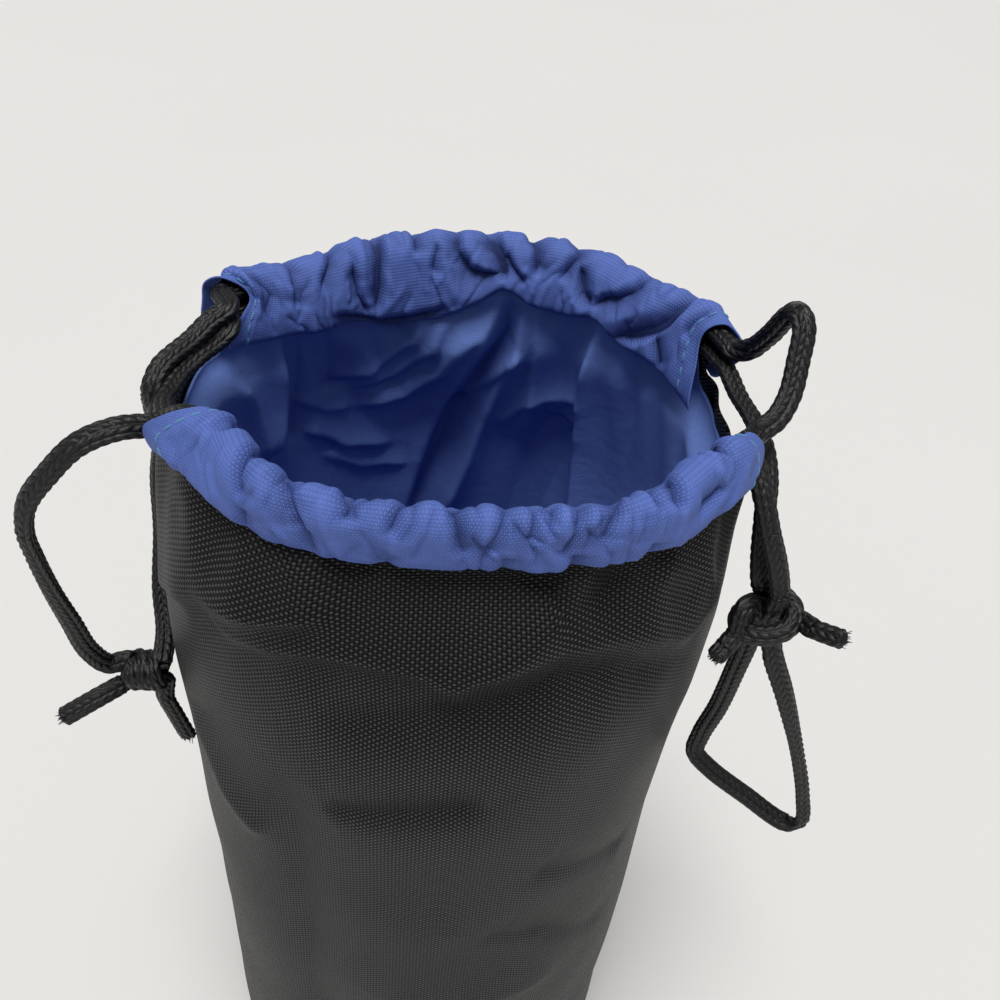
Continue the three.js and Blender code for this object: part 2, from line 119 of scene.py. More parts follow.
def mesh_object(name, parts, material):
    """One object from several (vertices, quads, corner places), in millimetres."""
    vertices, quads, places = zip(*parts)
    starts = np.cumsum([0] + [len(part) for part in vertices])
    quads = [part + start for part, start in zip(quads, starts)]
    mesh = bpy.data.meshes.new(name)
    mesh.from_pydata((np.vstack(vertices) * MM).tolist(), [], np.vstack(quads).tolist())
    layer = mesh.uv_layers.new(name="cloth")
    layer.data.foreach_set("uv", np.vstack(places).astype(np.float32).ravel())
    mesh.shade_smooth()
    mesh.materials.append(material)
    return add_object(name, mesh)


def dress(node):
    """Hide the solid that a piece stands in for."""
    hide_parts(node)


def thicken(piece, thickness, offset=-1.0):
    modifier = piece.modifiers.new("thickness", "SOLIDIFY")
    modifier.thickness = thickness * MM
    modifier.offset = offset


def smooth_step(value):
    value = np.clip(value, 0, 1)
    return value * value * (3 - 2 * value)


def unit(vectors):
    return vectors / np.linalg.norm(vectors, axis=-1, keepdims=True)


def path_length(line, power=1.0):
    """Length from the start of a line to each of its points, the sum of its steps to a power."""
    return np.concatenate([[0], np.cumsum(np.linalg.norm(np.diff(line, axis=0), axis=1) ** power)])


def hump(value, centre, width):
    return np.exp(-(((value - centre) / width) ** 2))


def humps(value, table):
    """Sum of humps (centre, height, half width)."""
    return sum(height * hump(value, centre, width) for centre, height, width in table)


# Camera, light and floor

CAMERA_AT = (-3.6, -148.3, 329.85)
CAMERA_YAW = 5.2
CAMERA_TILT = 40.84  # below the horizon
CAMERA_ROLL = -6.4
CAMERA_LENS = 34.63  # on a sensor 36 mm wide
SUN_WAY = (0.06, 0.16, -1.0)
SUN_SPREAD = 28  # degrees across, for soft shadows
SUN_STRENGTH = 2.56
SUN_COLOUR = (1.0, 0.985, 0.965)
ROOM_COLOUR = (0.95, 0.97, 1.0, 1)
ROOM_STRENGTH = 0.25
FLOOR_HALF = 3000.0


def make_camera():
    place = Matrix.Translation(Vector(CAMERA_AT) * MM)
    for turn, axis in ((-CAMERA_YAW, "Z"), (90 - CAMERA_TILT, "X"), (-CAMERA_ROLL, "Z")):
        place = place @ Matrix.Rotation(math.radians(turn), 4, axis)
    data = bpy.data.cameras.new("camera")
    data.lens = CAMERA_LENS
    data.clip_start = 0.01
    camera = add_object("camera", data)
    camera.matrix_world = place
    bpy.context.scene.camera = camera


def make_light():
    data = bpy.data.lights.new("daylight", "SUN")
    data.energy = SUN_STRENGTH
    data.angle = math.radians(SUN_SPREAD)
    data.color = SUN_COLOUR
    light = add_object("daylight", data)
    light.rotation_euler = Vector(SUN_WAY).to_track_quat("-Z", "Y").to_euler()
    world = bpy.data.worlds.new("room")
    world.use_nodes = True
    background = world.node_tree.nodes["Background"]
    background.inputs["Color"].default_value = ROOM_COLOUR
    background.inputs["Strength"].default_value = ROOM_STRENGTH
    bpy.context.scene.world = world
    bpy.context.scene.view_settings.view_transform = "Standard"


def make_floor():
    ends = (-FLOOR_HALF, FLOOR_HALF)
    corners = np.array([[[x, y, 0] for x in ends] for y in ends])
    floor = mesh_object("floor", [grid_data(corners, corners[:, :, :2])], paper_material())


# Materials

NYLON_YARNS = (0.72, 0.47)  # from warp to warp and from weft to weft
LOW_WARP = 0.25  # height of the nylon's warp beside its weft, and how light its yarn tops are painted beside the weft's painted highlight
LINING_YARNS = (0.32, 0.42)
WARP_SLUBS = (2.4, 0.16, 1)  # how often the lining's slubs change across and up the cloth
WEFT_SLUBS = (0.16, 2.2, 1)
# What lightens the lining, as shares of the way from its dark to its light colour: painted shade between the
# yarns, a painted highlight on the weft, the slubs' own tone and painted shade in the small wrinkles
WEAVE_SHADE_SHARE = 0.6
WEFT_HIGHLIGHT_SHARE = 0.26
SLUB_SHARE = 0.25
WRINKLE_SHADE_SHARE = 0.35
HOLLOW_SHADE_SHARE = 0.32  # painted shade: darkens it, for each millimetre that a crease is deep


class Graph:
    """A material's nodes, with the places on the flat cloth in millimetres."""

    def __init__(self, name, roughness):
        self.material = bpy.data.materials.new(name)
        self.material.use_nodes = True
        self.nodes = self.material.node_tree.nodes
        self.links = self.material.node_tree.links
        self.shader = self.nodes["Principled BSDF"]
        self.shader.inputs["Roughness"].default_value = roughness

    def put(self, value, socket):
        if isinstance(value, bpy.types.NodeSocket):
            self.links.new(value, socket)
        else:
            socket.default_value = value

    def node(self, kind, **values):
        node = self.nodes.new("ShaderNode" + kind)
        for name, value in values.items():
            self.put(value, node.inputs[name])
        return node

    def math(self, operation, *values, kind="Math"):
        node = self.node(kind)
        node.operation = operation
        for value, socket in zip(values, node.inputs):
            self.put(value, socket)
        return node.outputs[0]

    def stretched(self, place, scale):
        return self.math("MULTIPLY", place, scale, kind="VectorMath")

    def cloth_place(self):
        node = self.node("UVMap")
        node.uv_map = "cloth"
        return node.outputs["UV"]

    def object_place(self):
        return self.node("TexCoord").outputs["Object"]

    def value_of(self, attribute):
        node = self.node("Attribute")
        node.attribute_name = attribute
        return node.outputs["Fac"]

    def noise(self, place, scale, detail=3.0):
        return self.node("TexNoise", Vector=place, Scale=scale, Detail=detail).outputs["Fac"]

    def ramp(self, share, dark, light):
        node = self.node("ValToRGB", Fac=share)
        for element, colour in zip(node.color_ramp.elements, (dark, light)):
            element.color = (*colour, 1)
        return node.outputs["Color"]

    def bump(self, height, depth, strength=1.0, **under):
        """A normal raised by `height`, on top of the normal in `under`, if there is one."""
        node = self.node("Bump", Height=height, Distance=depth * MM, Strength=strength, **under)
        return node.outputs["Normal"]

    def weave(self, warp_gap, weft_gap):
        """Height, 0 to 1, of a plain weave with its yarns this far apart, and 1 where the weft is on top."""
        split = self.node("SeparateXYZ", Vector=self.cloth_place())
        u = self.math("DIVIDE", split.outputs["X"], warp_gap)
        v = self.math("DIVIDE", split.outputs["Y"], weft_gap)
        across = [self.math("SINE", self.math("MULTIPLY", self.math("FRACT", x), math.pi)) for x in (u, v)]
        cell = self.math("ADD", self.math("FLOOR", u), self.math("FLOOR", v))
        weft_over = self.math("FLOORED_MODULO", cell, 2.0)
        tops = []
        for over, under in (across, across[::-1]):
            crown = self.math("MULTIPLY_ADD", under, 0.7, 0.3)
            tops.append(self.math("MULTIPLY", self.math("POWER", over, 0.6), crown))
        step = self.math("SUBTRACT", tops[1], tops[0])
        return self.math("ADD", tops[0], self.math("MULTIPLY", step, weft_over)), weft_over

    def finish(self, colour, normal):
        self.put(colour, self.shader.inputs["Base Color"])
        self.put(normal, self.shader.inputs["Normal"])
        return self.material

    def speckled(self, place, scale, dark, light, depth, detail=3.0):
        """The material when one noise gives both its colour and its relief."""
        noise = self.noise(place, scale, detail)
        return self.finish(self.ramp(noise, dark, light), self.bump(noise, depth))


def nylon_material():
    graph = Graph("black_nylon", 0.42)
    height, weft = graph.weave(*NYLON_YARNS)
    # The yarn tops are painted lighter, the weft's most, and the gaps between yarns darker: painted
    # highlights and painted shade on the weave, besides its bump
    yarn = graph.math("ADD", graph.math("MULTIPLY", weft, 1 - LOW_WARP), LOW_WARP)
    raised = graph.math("MULTIPLY", height, yarn)
    worn = graph.noise(graph.object_place(), 22.0)
    share = graph.math("MULTIPLY", raised, graph.math("ADD", worn, 0.45))
    # From painted shade, near black, in the gaps up to a painted highlight on the weft's tops
    colour = graph.ramp(share, (0.0004, 0.0004, 0.0005), (0.062, 0.0614, 0.066))
    graph.put(graph.math("MULTIPLY", raised, 0.6), graph.shader.inputs["Specular IOR Level"])
    return graph.finish(colour, graph.bump(raised, 0.5))


def lining_material(name, dark, light):
    graph = Graph(name, 0.7)
    graph.shader.inputs["Specular IOR Level"].default_value = 0.3
    height, weft = graph.weave(*LINING_YARNS)
    place = graph.cloth_place()
    both = [graph.noise(graph.stretched(place, scale), 1.0, 2.0) for scale in (WARP_SLUBS, WEFT_SLUBS)]
    slubs = graph.math("ADD", *both)
    # Small wrinkles: a bump, and painted shade in their troughs through the colour
    creases = graph.noise(place, 0.35, 4.0)
    # Painted shade in the sleeves' deep creases, from their hollow attribute
    share = graph.math("MULTIPLY", graph.value_of("hollow"), -HOLLOW_SHADE_SHARE)
    # Painted shade between the yarns, a painted highlight on the weft, the slubs' own tone, and painted
    # shade in the wrinkles
    parts = [(height, WEAVE_SHADE_SHARE), (weft, WEFT_HIGHLIGHT_SHARE), (slubs, SLUB_SHARE), (creases, WRINKLE_SHADE_SHARE)]
    for value, part in parts:
        share = graph.math("ADD", share, graph.math("MULTIPLY", value, part))
    colour = graph.ramp(share, dark, light)
    soft = graph.bump(creases, 0.5, strength=0.5)
    return graph.finish(colour, graph.bump(height, 0.06, Normal=soft))


def braid_material():
    graph = Graph("black_braid", 0.42)
    dark, light = (0.0015, 0.0015, 0.0018), (0.010, 0.010, 0.0112)
    return graph.speckled(graph.cloth_place(), 5.0, dark, light, 0.12, detail=2.0)


def thread_material():
    graph = Graph("pale_blue_thread", 0.6)
    graph.shader.inputs["Sheen Weight"].default_value = 0.2
    return graph.speckled(graph.object_place(), 3000.0, (0.07, 0.20, 0.42), (0.12, 0.33, 0.58), 0.05)


def foam_material():
    graph = Graph("pale_foam", 0.95)
    return graph.speckled(graph.object_place(), 900.0, (0.50, 0.49, 0.45), (0.68, 0.67, 0.63), 0.3)


def paper_material():
    graph = Graph("pale_floor", 0.7)
    return graph.speckled(graph.object_place(), 3.0, (0.77, 0.76, 0.745), (0.80, 0.79, 0.775), 0.2)


# Shape of the wall and the mouth

# Humps of the slack mouth, as (degrees round it, amount, half width in degrees): how far it is pushed in and
# how far it hangs down beside the plain oval of the solids, and by how many degrees its casings lean inwards
MOUTH_DENTS = [(131, 5.0, 24), (45, 3.0, 20)]
MOUTH_DROPS = [(131, 3.6, 26), (220, -3.6, 18), (40, 1.4, 20), (322, -3.2, 15), (70, -0.6, 14)]
MOUTH_LEANS = [(223, 33.0, 14), (316, 14.0, 17)]
# Stand-off of the slack body at its left and its right, as (height, amount, half width)
LEFT_SWELL = (192, 0.6, 24)
RIGHT_SWELL = (135, -2.0, 45)


def drawn_in(z):
    """How far the neck is drawn in, from 0 where it starts to 1 at the wall's top."""
    return np.clip((z - NECK_START) / (WALL_TOP - NECK_START), 0, 1) ** 2


def oval(angle, half_width, half_depth, power):
    """Points of a superellipse, by the angle round it."""
    ways = np.cos(angle), np.sin(angle)
    x, y = (np.sign(way) * np.abs(way) ** (2 / power) for way in ways)
    return half_width * x, half_depth * y


def around(angle, centre):
    """Degrees from `centre` to an angle in radians, from -180 to 180."""
    return (np.degrees(angle) - centre + 180) % 360 - 180


def humps_round(angle, table):
    """Sum of humps (degrees round the mouth, height, half width in degrees)."""
    return sum(height * hump(around(angle, centre), 0, width) for centre, height, width in table)


def body_swell(angle, z):
    """The slack cloth's stand-off from a true cylinder."""
    left = np.clip(-np.cos(angle), 0, 1) ** 2
    right = np.clip(np.cos(angle), 0, 1) ** 2
    return left * humps(z, [LEFT_SWELL]) + right * humps(z, [RIGHT_SWELL])


def wall_point(angle, z, depth):
    """A point of the wall, `depth` mm inside its outer face."""
    drawn = drawn_in(z)
    foot = FOOT_TUCK * np.clip(1 - z / FOOT_ROUND, 0, 1) ** 2
    inset = depth + foot + humps_round(angle, MOUTH_DENTS) * drawn - body_swell(angle, z)
    half_width = BODY_RADIUS + (MOUTH_HALF_WIDTH - BODY_RADIUS) * drawn - inset
    half_depth = BODY_RADIUS + (MOUTH_HALF_DEPTH - BODY_RADIUS) * drawn - inset
    x, y = oval(angle, half_width, half_depth, 2 + (MOUTH_FULLNESS - 2) * drawn)
    return np.stack([x, y, z - humps_round(angle, MOUTH_DROPS) * drawn], -1)


def top_edge(angle):
    """Height of the wall's top, which dips in the side gaps."""
    reach = math.sin(math.radians(SIDE_DIP_REACH))
    return WALL_TOP - SIDE_DIP * smooth_step(1 - np.abs(np.sin(angle)) / reach)


def under_casing(angle, reach=6):
    """1 where a casing is, 0 in the side gaps, changing over `reach` degrees within the casing's ends."""
    total = 0 * angle
    for start, end in CASINGS.values():
        from_middle = np.abs(around(angle, (start + end) / 2))
        total = total + smooth_step(((end - start) / 2 - 4 - from_middle) / reach)
    return total


def casing_point(angle, out, up):
    """A point `out` mm outwards and `up` mm above the middle of a casing."""
    reach = out + CASING_FLARE * (up + CASING_HEIGHT / 2) - CASING_RING
    x, y = oval(angle, MOUTH_HALF_WIDTH + reach, MOUTH_HALF_DEPTH + reach, MOUTH_FULLNESS)
    return np.stack([x, y, CASING_MIDDLE + up + 0 * angle], -1)


# Folds

FOLD_ROUND = 0.5  # radius of a fold's crest


def distance_to_path(places, path):
    """Signed distance to a polyline (positive on its left) and the share of the way along it."""
    best = np.full(places.shape[:-1], 1e9)
    signed = np.zeros_like(best)
    share = np.zeros_like(best)
    pieces = len(path) - 1
    for i in range(pieces):
        step = path[i + 1] - path[i]
        offset = places - path[i]
        along = np.clip(offset @ step / (step @ step), 0, 1)
        away = offset - along[..., None] * step
        distance = np.linalg.norm(away, axis=-1)
        side = np.sign(step[0] * offset[..., 1] - step[1] * offset[..., 0])
        nearer = distance < best
        best = np.where(nearer, distance, best)
        signed = np.where(nearer, side * distance, signed)
        share = np.where(nearer, (i + along) / pieces, share)
    return signed, share


def fold_field(places, folds, crest=FOLD_ROUND, power=1.3):
    """Stand-off of the cloth by folds (path, depth or depths at its two ends, width on its left, width on
    its right)."""
    total = np.zeros(places.shape[:-1])
    for path, depth, left, right in folds:
        signed, share = distance_to_path(places, np.array(path, float))
        width = np.where(signed > 0, left, right)
        ends = smooth_step(np.minimum(share, 1 - share) / 0.2 + 0.25)
        away = np.hypot(signed, crest) - crest
        full = np.interp(share, [0, 1], np.broadcast_to(depth, 2))
        total += full * np.exp(-((away / width) ** power)) * ends
    return total


def waves(u, v, seed, scale, count=14):
    """Slow, irregular waviness from -1 to 1."""
    rng = np.random.default_rng(seed)
    total = np.zeros_like(u)
    for _ in range(count):
        turn = rng.uniform(0, math.pi)
        length = scale * rng.uniform(0.6, 1.8)
        phase = rng.uniform(0, 2 * math.pi)
        total += np.sin(2 * math.pi * (u * math.cos(turn) + v * math.sin(turn)) / length + phase)
    return total / math.sqrt(count)


# Outer wall

# Folds, as (path of (mm round from the middle, height), depth, width on its left, width on its right)
FRONT_FOLDS = [
    ([(-70, 196), (-58, 202), (-42, 212), (-26, 216), (-12, 220)], (1, 2.4), 9, 2.6),
    ([(-44, 207), (-24, 210), (-14, 211), (0, 210)], 1.3, 6, 2.2),
    ([(-22, 195), (-8, 197), (3, 201), (17, 205), (30, 203), (48, 196)], (-1, -1.7), 5, 5),
    ([(2, 210), (16, 213), (32, 211), (52, 203)], 1, 5, 4),
    ([(-2, 205), (9, 214), (15, 219)], 1.4, 4, 4),
    ([(0, 223), (10, 223), (17, 218), (28, 220)], -0.8, 4, 4),
    ([(-22, 170), (-6, 174), (9, 178)], -0.7, 4, 2.5),
    ([(-29, 176), (-29, 138), (-28, 85), (-28, 14)], -1.4, 9, 7),
    ([(-58, 172), (-47, 154), (-36, 147)], 1, 5, 5),
    ([(20, 150), (34, 142), (50, 132)], -0.6, 5, 3),
    ([(10, 128), (28, 118), (50, 97)], -0.6, 6, 3),
    ([(32, 223), (46, 218), (52, 206)], 0.9, 3.5, 3.5),
    ([(56, 214), (64, 196), (62, 170)], 0.2, 5, 6),
    ([(-8, 96), (10, 92), (34, 94)], 0.5, 8, 4),
]
REAR_FOLDS = [
    ([(-70, 196), (-40, 210), (-15, 206), (8, 214)], 1.6, 8, 2.8),
    ([(-10, 192), (18, 199), (45, 190), (66, 200)], 1.4, 6, 2.6),
    ([(30, 216), (44, 206), (50, 190)], 1.1, 4, 4),
    ([(-46, 182), (-24, 176), (-4, 180)], -1, 4, 3),
    ([(26, 172), (26, 120), (30, 60), (28, 14)], -1.3, 8, 9),
    ([(-40, 150), (-18, 141), (6, 146)], -0.7, 5, 3),
    ([(-54, 120), (-30, 108), (-6, 112)], 0.6, 6, 4),
]
OUTER_FOLDS = {"front": FRONT_FOLDS, "rear": REAR_FOLDS}
OUTER_SEEDS = {"front": (3, 5), "rear": (4, 6)}  # of the slack and the gathers
OUTER_SLACK = (0.35, 46)  # height and length of the slack cloth's waves
OUTER_GATHERS = (0.7, 12, 0.25)  # the same of the gathers in the neck, and how much they vary upwards
FOLD_SCALE = 1.8
FOOT_HOLD = 14  # the bottom seam holds the cloth, less and less up to this height
TOP_HOLD = (4, 6)  # the casing holds it fully this far above the wall's top, less and less over this height
CLOTH_STEP = 0.9  # mesh size of the wall
LINING_STEP = 0.6
HIDDEN_TOP = 3.5  # the cloths go up into the casings
GAP_DROP = 4.0  # from the wall's top to the lining's top in the side gaps
RIM_TURN = 12.0  # the lining comes out to the wall over this height in the side gaps


def seam_angles(half):
    """Start and end angle of a half of the wall, between the side seams."""
    tilt = math.asin(-SEAM_Y / BODY_RADIUS)
    if half == "front":
        return math.pi + tilt, 2 * math.pi - tilt
    return -tilt, math.pi + tilt


def wall_grid(half, low, radius, step, top_drop=0.0, gap_drop=0.0):
    """Angles, heights and flat places of the points of a half of one layer of the wall. Its top lies
    `top_drop` below the wall's, and `gap_drop` more in the side gaps."""
    start, end = seam_angles(half)
    columns = int((end - start) * radius / step)
    rows = int((WALL_TOP - low) / step)
    angle = np.linspace(start, end, columns + 1)[None, :] + np.zeros((rows + 1, 1))
    share = np.linspace(0, 1, rows + 1)[:, None]
    covered = under_casing(angle)
    top = top_edge(angle) + HIDDEN_TOP * covered - gap_drop * (1 - covered) - top_drop
    z = low + share * (top - low)
    middle = 1.5 * math.pi if half == "front" else 0.5 * math.pi
    places = np.stack([(angle - middle) * radius, z], -1)
    return angle, z, places


def flat_places(points):
    """Places on the flat cloth: lengths along the rows from the middle column, and up the columns."""
    across = np.linalg.norm(np.diff(points, axis=1), axis=-1).cumsum(1)
    up = np.linalg.norm(np.diff(points, axis=0), axis=-1).cumsum(0)
    across = np.pad(across, ((0, 0), (1, 0)))
    middle = across[:, across.shape[1] // 2, None]
    return np.stack([across - middle, np.pad(up, ((1, 0), (0, 0)))], -1)


def push_out(points, angle, distance):
    way = np.stack([np.cos(angle), np.sin(angle), 0 * angle], -1)
    return points + way * distance[..., None]


def seam_tuck(angle, half):
    """How far the cloth is drawn in beside the side seams."""
    start, end = seam_angles(half)
    edge = np.minimum(angle - start, end - angle) * BODY_RADIUS
    return SEAM_TUCK * hump(edge, 0, SEAM_TUCK_REACH)


def loose_cloth(folds, z, places, seeds, slack, gathers):
    """Stand-off of cloth with folds, slow waves of slack, and gathers where the neck is drawn in."""
    u, v = places[..., 0], places[..., 1]
    loose = folds + slack[0] * waves(u, v, seeds[0], slack[1])
    return loose + drawn_in(z) * gathers[0] * waves(u, gathers[2] * v, seeds[1], gathers[1])


def outer_stand_off(angle, z, places, half):
    """How far the slack nylon stands off the wall's plain shape."""
    folds = FOLD_SCALE * fold_field(places, OUTER_FOLDS[half])
    loose = loose_cloth(folds, z, places, OUTER_SEEDS[half], OUTER_SLACK, OUTER_GATHERS)
    above, reach = TOP_HOLD
    free = smooth_step(z / FOOT_HOLD) * smooth_step((WALL_TOP + above - z) / reach)
    return loose * free - seam_tuck(angle, half)


def make_outer_panel(half, material):
    angle, z, places = wall_grid(half, 0.0, BODY_RADIUS, CLOTH_STEP)
    points = wall_point(angle, z, 0.0)
    cloth = flat_places(points)
    points = push_out(points, angle, outer_stand_off(angle, z, places, half))
    panel = mesh_object(f"nylon_{half}", [grid_data(points, cloth)], material)
    thicken(panel, OUTER_CLOTH)
    dress(f"outer_{half}_panel")
    blend_with_rim(panel)


def blend_with_rim(piece):
    """Bake the piece's placement into its mesh."""
    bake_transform(piece)


def make_padding(half, material):
    angle, z, places = wall_grid(half, FOOT_ROUND, BODY_RADIUS, CLOTH_STEP, RIM_TURN)
    points = wall_point(angle, z, FOAM_DEPTH + LAYER_GAP)
    points = push_out(points, angle, outer_stand_off(angle, z, places, half))
    pad = mesh_object(f"foam_{half}", [grid_data(points[::2, ::2], places[::2, ::2])], material)
    thicken(pad, FOAM_AT_MOUTH)
    dress(f"padding_{half}")
    blend_with_rim(pad)


# Lining

# Folds that stand inwards, as (path of (mm to the right of the middle, height), depth, widths)
REAR_LINING_FOLDS = [
    ([(4, 231), (1.8, 216), (-3.3, 205), (-13, 196), (-26, 193)], (4.2, 2.6), 1.8, 4.5),
    ([(6, 231), (4.4, 213), (1.1, 203), (-4, 190), (-9, 172), (-15, 145)], (3.6, 3), 2.2, 4),
    ([(8, 231), (9, 214), (5, 200), (-1, 187), (-8, 165), (-12, 145)], (-3.4, -3.6), 3, 3),
    ([(10, 230), (14, 210), (10, 195), (5, 174), (-3, 148)], (3, 4), 2.8, 4),
    ([(12, 230), (19, 212), (21, 196), (18, 180)], (2.6, 1.2), 3, 3),
    ([(15, 212), (8, 201), (1, 192)], 1.8, 1.2, 2.6),
    ([(29, 194), (26, 180), (22, 163), (20, 140)], -4, 5, 5),
    ([(12, 186), (18, 194), (24, 198), (36, 202)], 1.5, 4, 1.8),
    ([(31.5, 232), (34, 215), (36.4, 196), (39, 170), (40, 140)], 3.6, 5, 1.8),
    ([(-42, 232), (-42.6, 207), (-45, 186)], -3.2, 2.6, 2.6),
    ([(-49, 230), (-50, 203), (-53, 188)], 2.4, 4, 4),
    ([(-42, 200), (-35, 195), (-28, 193)], 1, 3, 1),
    ([(-41, 190), (-36, 187), (-30, 182), (-16, 179)], 1.6, 5, 1.1),
    ([(-37, 181), (-25, 173), (-12, 172)], 1, 4, 1.2),
    ([(-35, 230), (-33, 210), (-32, 198)], -2.6, 4, 2.6),
    ([(-18, 226), (-22, 212), (-20, 200)], 1.4, 5, 5),
    ([(-2, 228), (-9, 214), (-22, 205), (-34, 203)], 1.5, 1.6, 4),
    ([(1, 229), (-5, 212), (-15, 203), (-28, 199)], (2.2, 1), 1.4, 3),
    ([(-70, 222), (-60, 207), (-55, 190)], 1.8, 4, 3),
]
FRONT_LINING_FOLDS = [
    ([(-40, 226), (-36, 200), (-40, 170)], 2.2, 3, 4),
    ([(-12, 226), (-8, 205), (-14, 178)], 2.4, 4, 3),
    ([(12, 226), (16, 198), (10, 165)], -2, 4, 4),
    ([(30, 226), (32, 204), (44, 184)], 2.4, 3, 4),
    ([(-30, 180), (-8, 172), (14, 178)], -1.8, 4, 2.5),
    ([(56, 224), (50, 204), (56, 180)], 1.6, 4, 4),
]
LINING_FOLDS = {"front": FRONT_LINING_FOLDS, "rear": REAR_LINING_FOLDS}
LINING_SEEDS = {"front": (11, 13), "rear": (12, 14)}
LINING_SLACK = (0.5, 38)
LINING_GATHERS = (0.8, 9, 0.2)
LINING_FOLD_SCALE = 1.5
LINING_CREST = 0.3  # radius of a fold's crest
LINING_FOOT = 5.2
LINING_HOLD = (18, 14)  # heights over which the lining comes free above its foot and below the wall's top
FOLDS_AT_TOP = 0.4  # share of the folds that is left at the wall's top
STAND_IN = (0.4, 2.2)  # how far the lining stands in at the wall's top, and what is added below
MOST_IN = (1.6, 9)  # the same, at most


def lining_rim(angle, z):
    """1 where the lining comes out to the wall in the side gaps, 0 elsewhere."""
    turn = smooth_step((z - top_edge(angle) + RIM_TURN) / (RIM_TURN - GAP_DROP))
    return (1 - under_casing(angle, 18)) * turn


def lining_stand_in(half, z, places, rim):
    """How far the slack lining stands inwards of the foam."""
    seen = places * np.array([1 if half == "front" else -1, 1])
    folds = LINING_FOLD_SCALE * fold_field(seen, LINING_FOLDS[half], LINING_CREST, 1.1)
    loose = loose_cloth(folds, z, places, LINING_SEEDS[half], LINING_SLACK, LINING_GATHERS)
    off_foot = smooth_step((z - LINING_FOOT) / LINING_HOLD[0])
    below = smooth_step((WALL_TOP - z) / LINING_HOLD[1])
    folded = (FOLDS_AT_TOP + (1 - FOLDS_AT_TOP) * below) * loose
    inwards = folded + STAND_IN[0] + STAND_IN[1] * below
    return np.clip(inwards, -0.2, MOST_IN[0] + MOST_IN[1] * below) * off_foot * (1 - rim)


def make_lining_panel(half, material):
    radius = BODY_RADIUS - LINING_DEPTH
    angle, z, places = wall_grid(half, LINING_FOOT, radius, LINING_STEP, gap_drop=GAP_DROP)
    foam = FOAM + (FOAM_AT_MOUTH - FOAM) * drawn_in(z)
    rim = lining_rim(angle, z)
    points = wall_point(angle, z, FOAM_DEPTH + (foam + LAYER_GAP) * (1 - rim))
    cloth = flat_places(points)
    inwards = lining_stand_in(half, z, places, rim) + 1.5 * seam_tuck(angle, half) * rim
    points = push_out(points, angle, -inwards)
    panel = mesh_object(f"lining_{half}", [grid_data(points[:, ::-1], cloth[:, ::-1])], material)
    thicken(panel, LINING_CLOTH, 1.0)
    dress(f"lining_{half}_panel")
    blend_with_rim(panel)


# Bottom: three round layers

DISC_RINGS = 40
DISC_SIDES = 120
DISC_MIDDLE = 0.0005  # share of the radius that the innermost ring has
FOAM_BOTTOM = 4.1
LINING_BOTTOM = 4.9
LINING_CROWN = 0.4
DISC_WAVES = 0.12  # height
DISC_SEED = 21


def make_disc(name, node, material, bottom, thickness, crown=0.0, facing_down=False):
    """A round layer of the bottom, with a slight crown and waviness."""
    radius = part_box(node)[1].x / MM
    share = np.linspace(DISC_MIDDLE, 1, DISC_RINGS)[:, None]
    turn = np.linspace(0, 2 * math.pi, DISC_SIDES + 1)[None, :]
    x = radius * share * np.cos(turn)
    y = radius * share * np.sin(turn)
    lift = crown * (1 - share**2) + DISC_WAVES * waves(x, y, DISC_SEED, 30.0) * (1 - share**4)
    points = np.stack([x, y, bottom + lift], -1)
    cloth = np.stack([x, y], -1)
    if not facing_down:
        points = points[::-1]
        cloth = cloth[::-1]
    disc = mesh_object(name, [grid_data(points[:, :-1], cloth, closed=True)], material)
    thicken(disc, thickness)
    dress(node)
    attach(disc, "pouch")
    return disc


def make_bottom(nylon, foam, lining):
    cloth = make_disc("nylon_base", "outer_base", nylon, 0.0, OUTER_CLOTH, facing_down=True)
    pad = make_disc("foam_base", "padding_base", foam, FOAM_BOTTOM, FOAM)
    bed = make_disc("lining_bottom", "lining_base", lining, LINING_BOTTOM, LINING_CLOTH,
                    crown=LINING_CROWN)


# Casings: gathered sleeves over the cords

# Sections as (out, up), from the seam on the wall, over the top, to the seam on the lining
SLEEVE_SECTION = {
    "front": [(1.5, -4.4), (2.6, -5.3), (3.1, -4.0), (2.6, -0.8), (1.7, 2.2), (0.0, 3.6), (-1.6, 2.2),
              (-2.1, -1.0), (-2.0, -4.5), (-1.5, -7.4)],
    "rear": [(1.5, -6.4), (2.8, -6.8), (3.2, -4.5), (2.7, 0.0), (1.9, 2.8), (0.0, 4.2), (-1.9, 2.8),
             (-2.7, 0.0), (-3.2, -4.5), (-2.8, -8.0)],
}
SLEEVES = {"front": (212.5, 333.0), "rear": (14.5, 159.5)}  # degrees, a little within the casings' ends
SLEEVE_SEEDS = {"front": 31, "rear": 32}
SLEEVE_FINENESS = 2000  # samples of a sleeve's length
SLEEVE_STEP = 0.42  # mesh size
SLEEVE_CLOTH = 0.4
EXTRA_CLOTH = 0.25  # cloth that the gathers take up, for each millimetre of casing
DEEPEST = -0.5  # no crease goes further in than this, where the cords are
LEAN_FOOT = -6.0  # the sleeves lean and stretch about this height
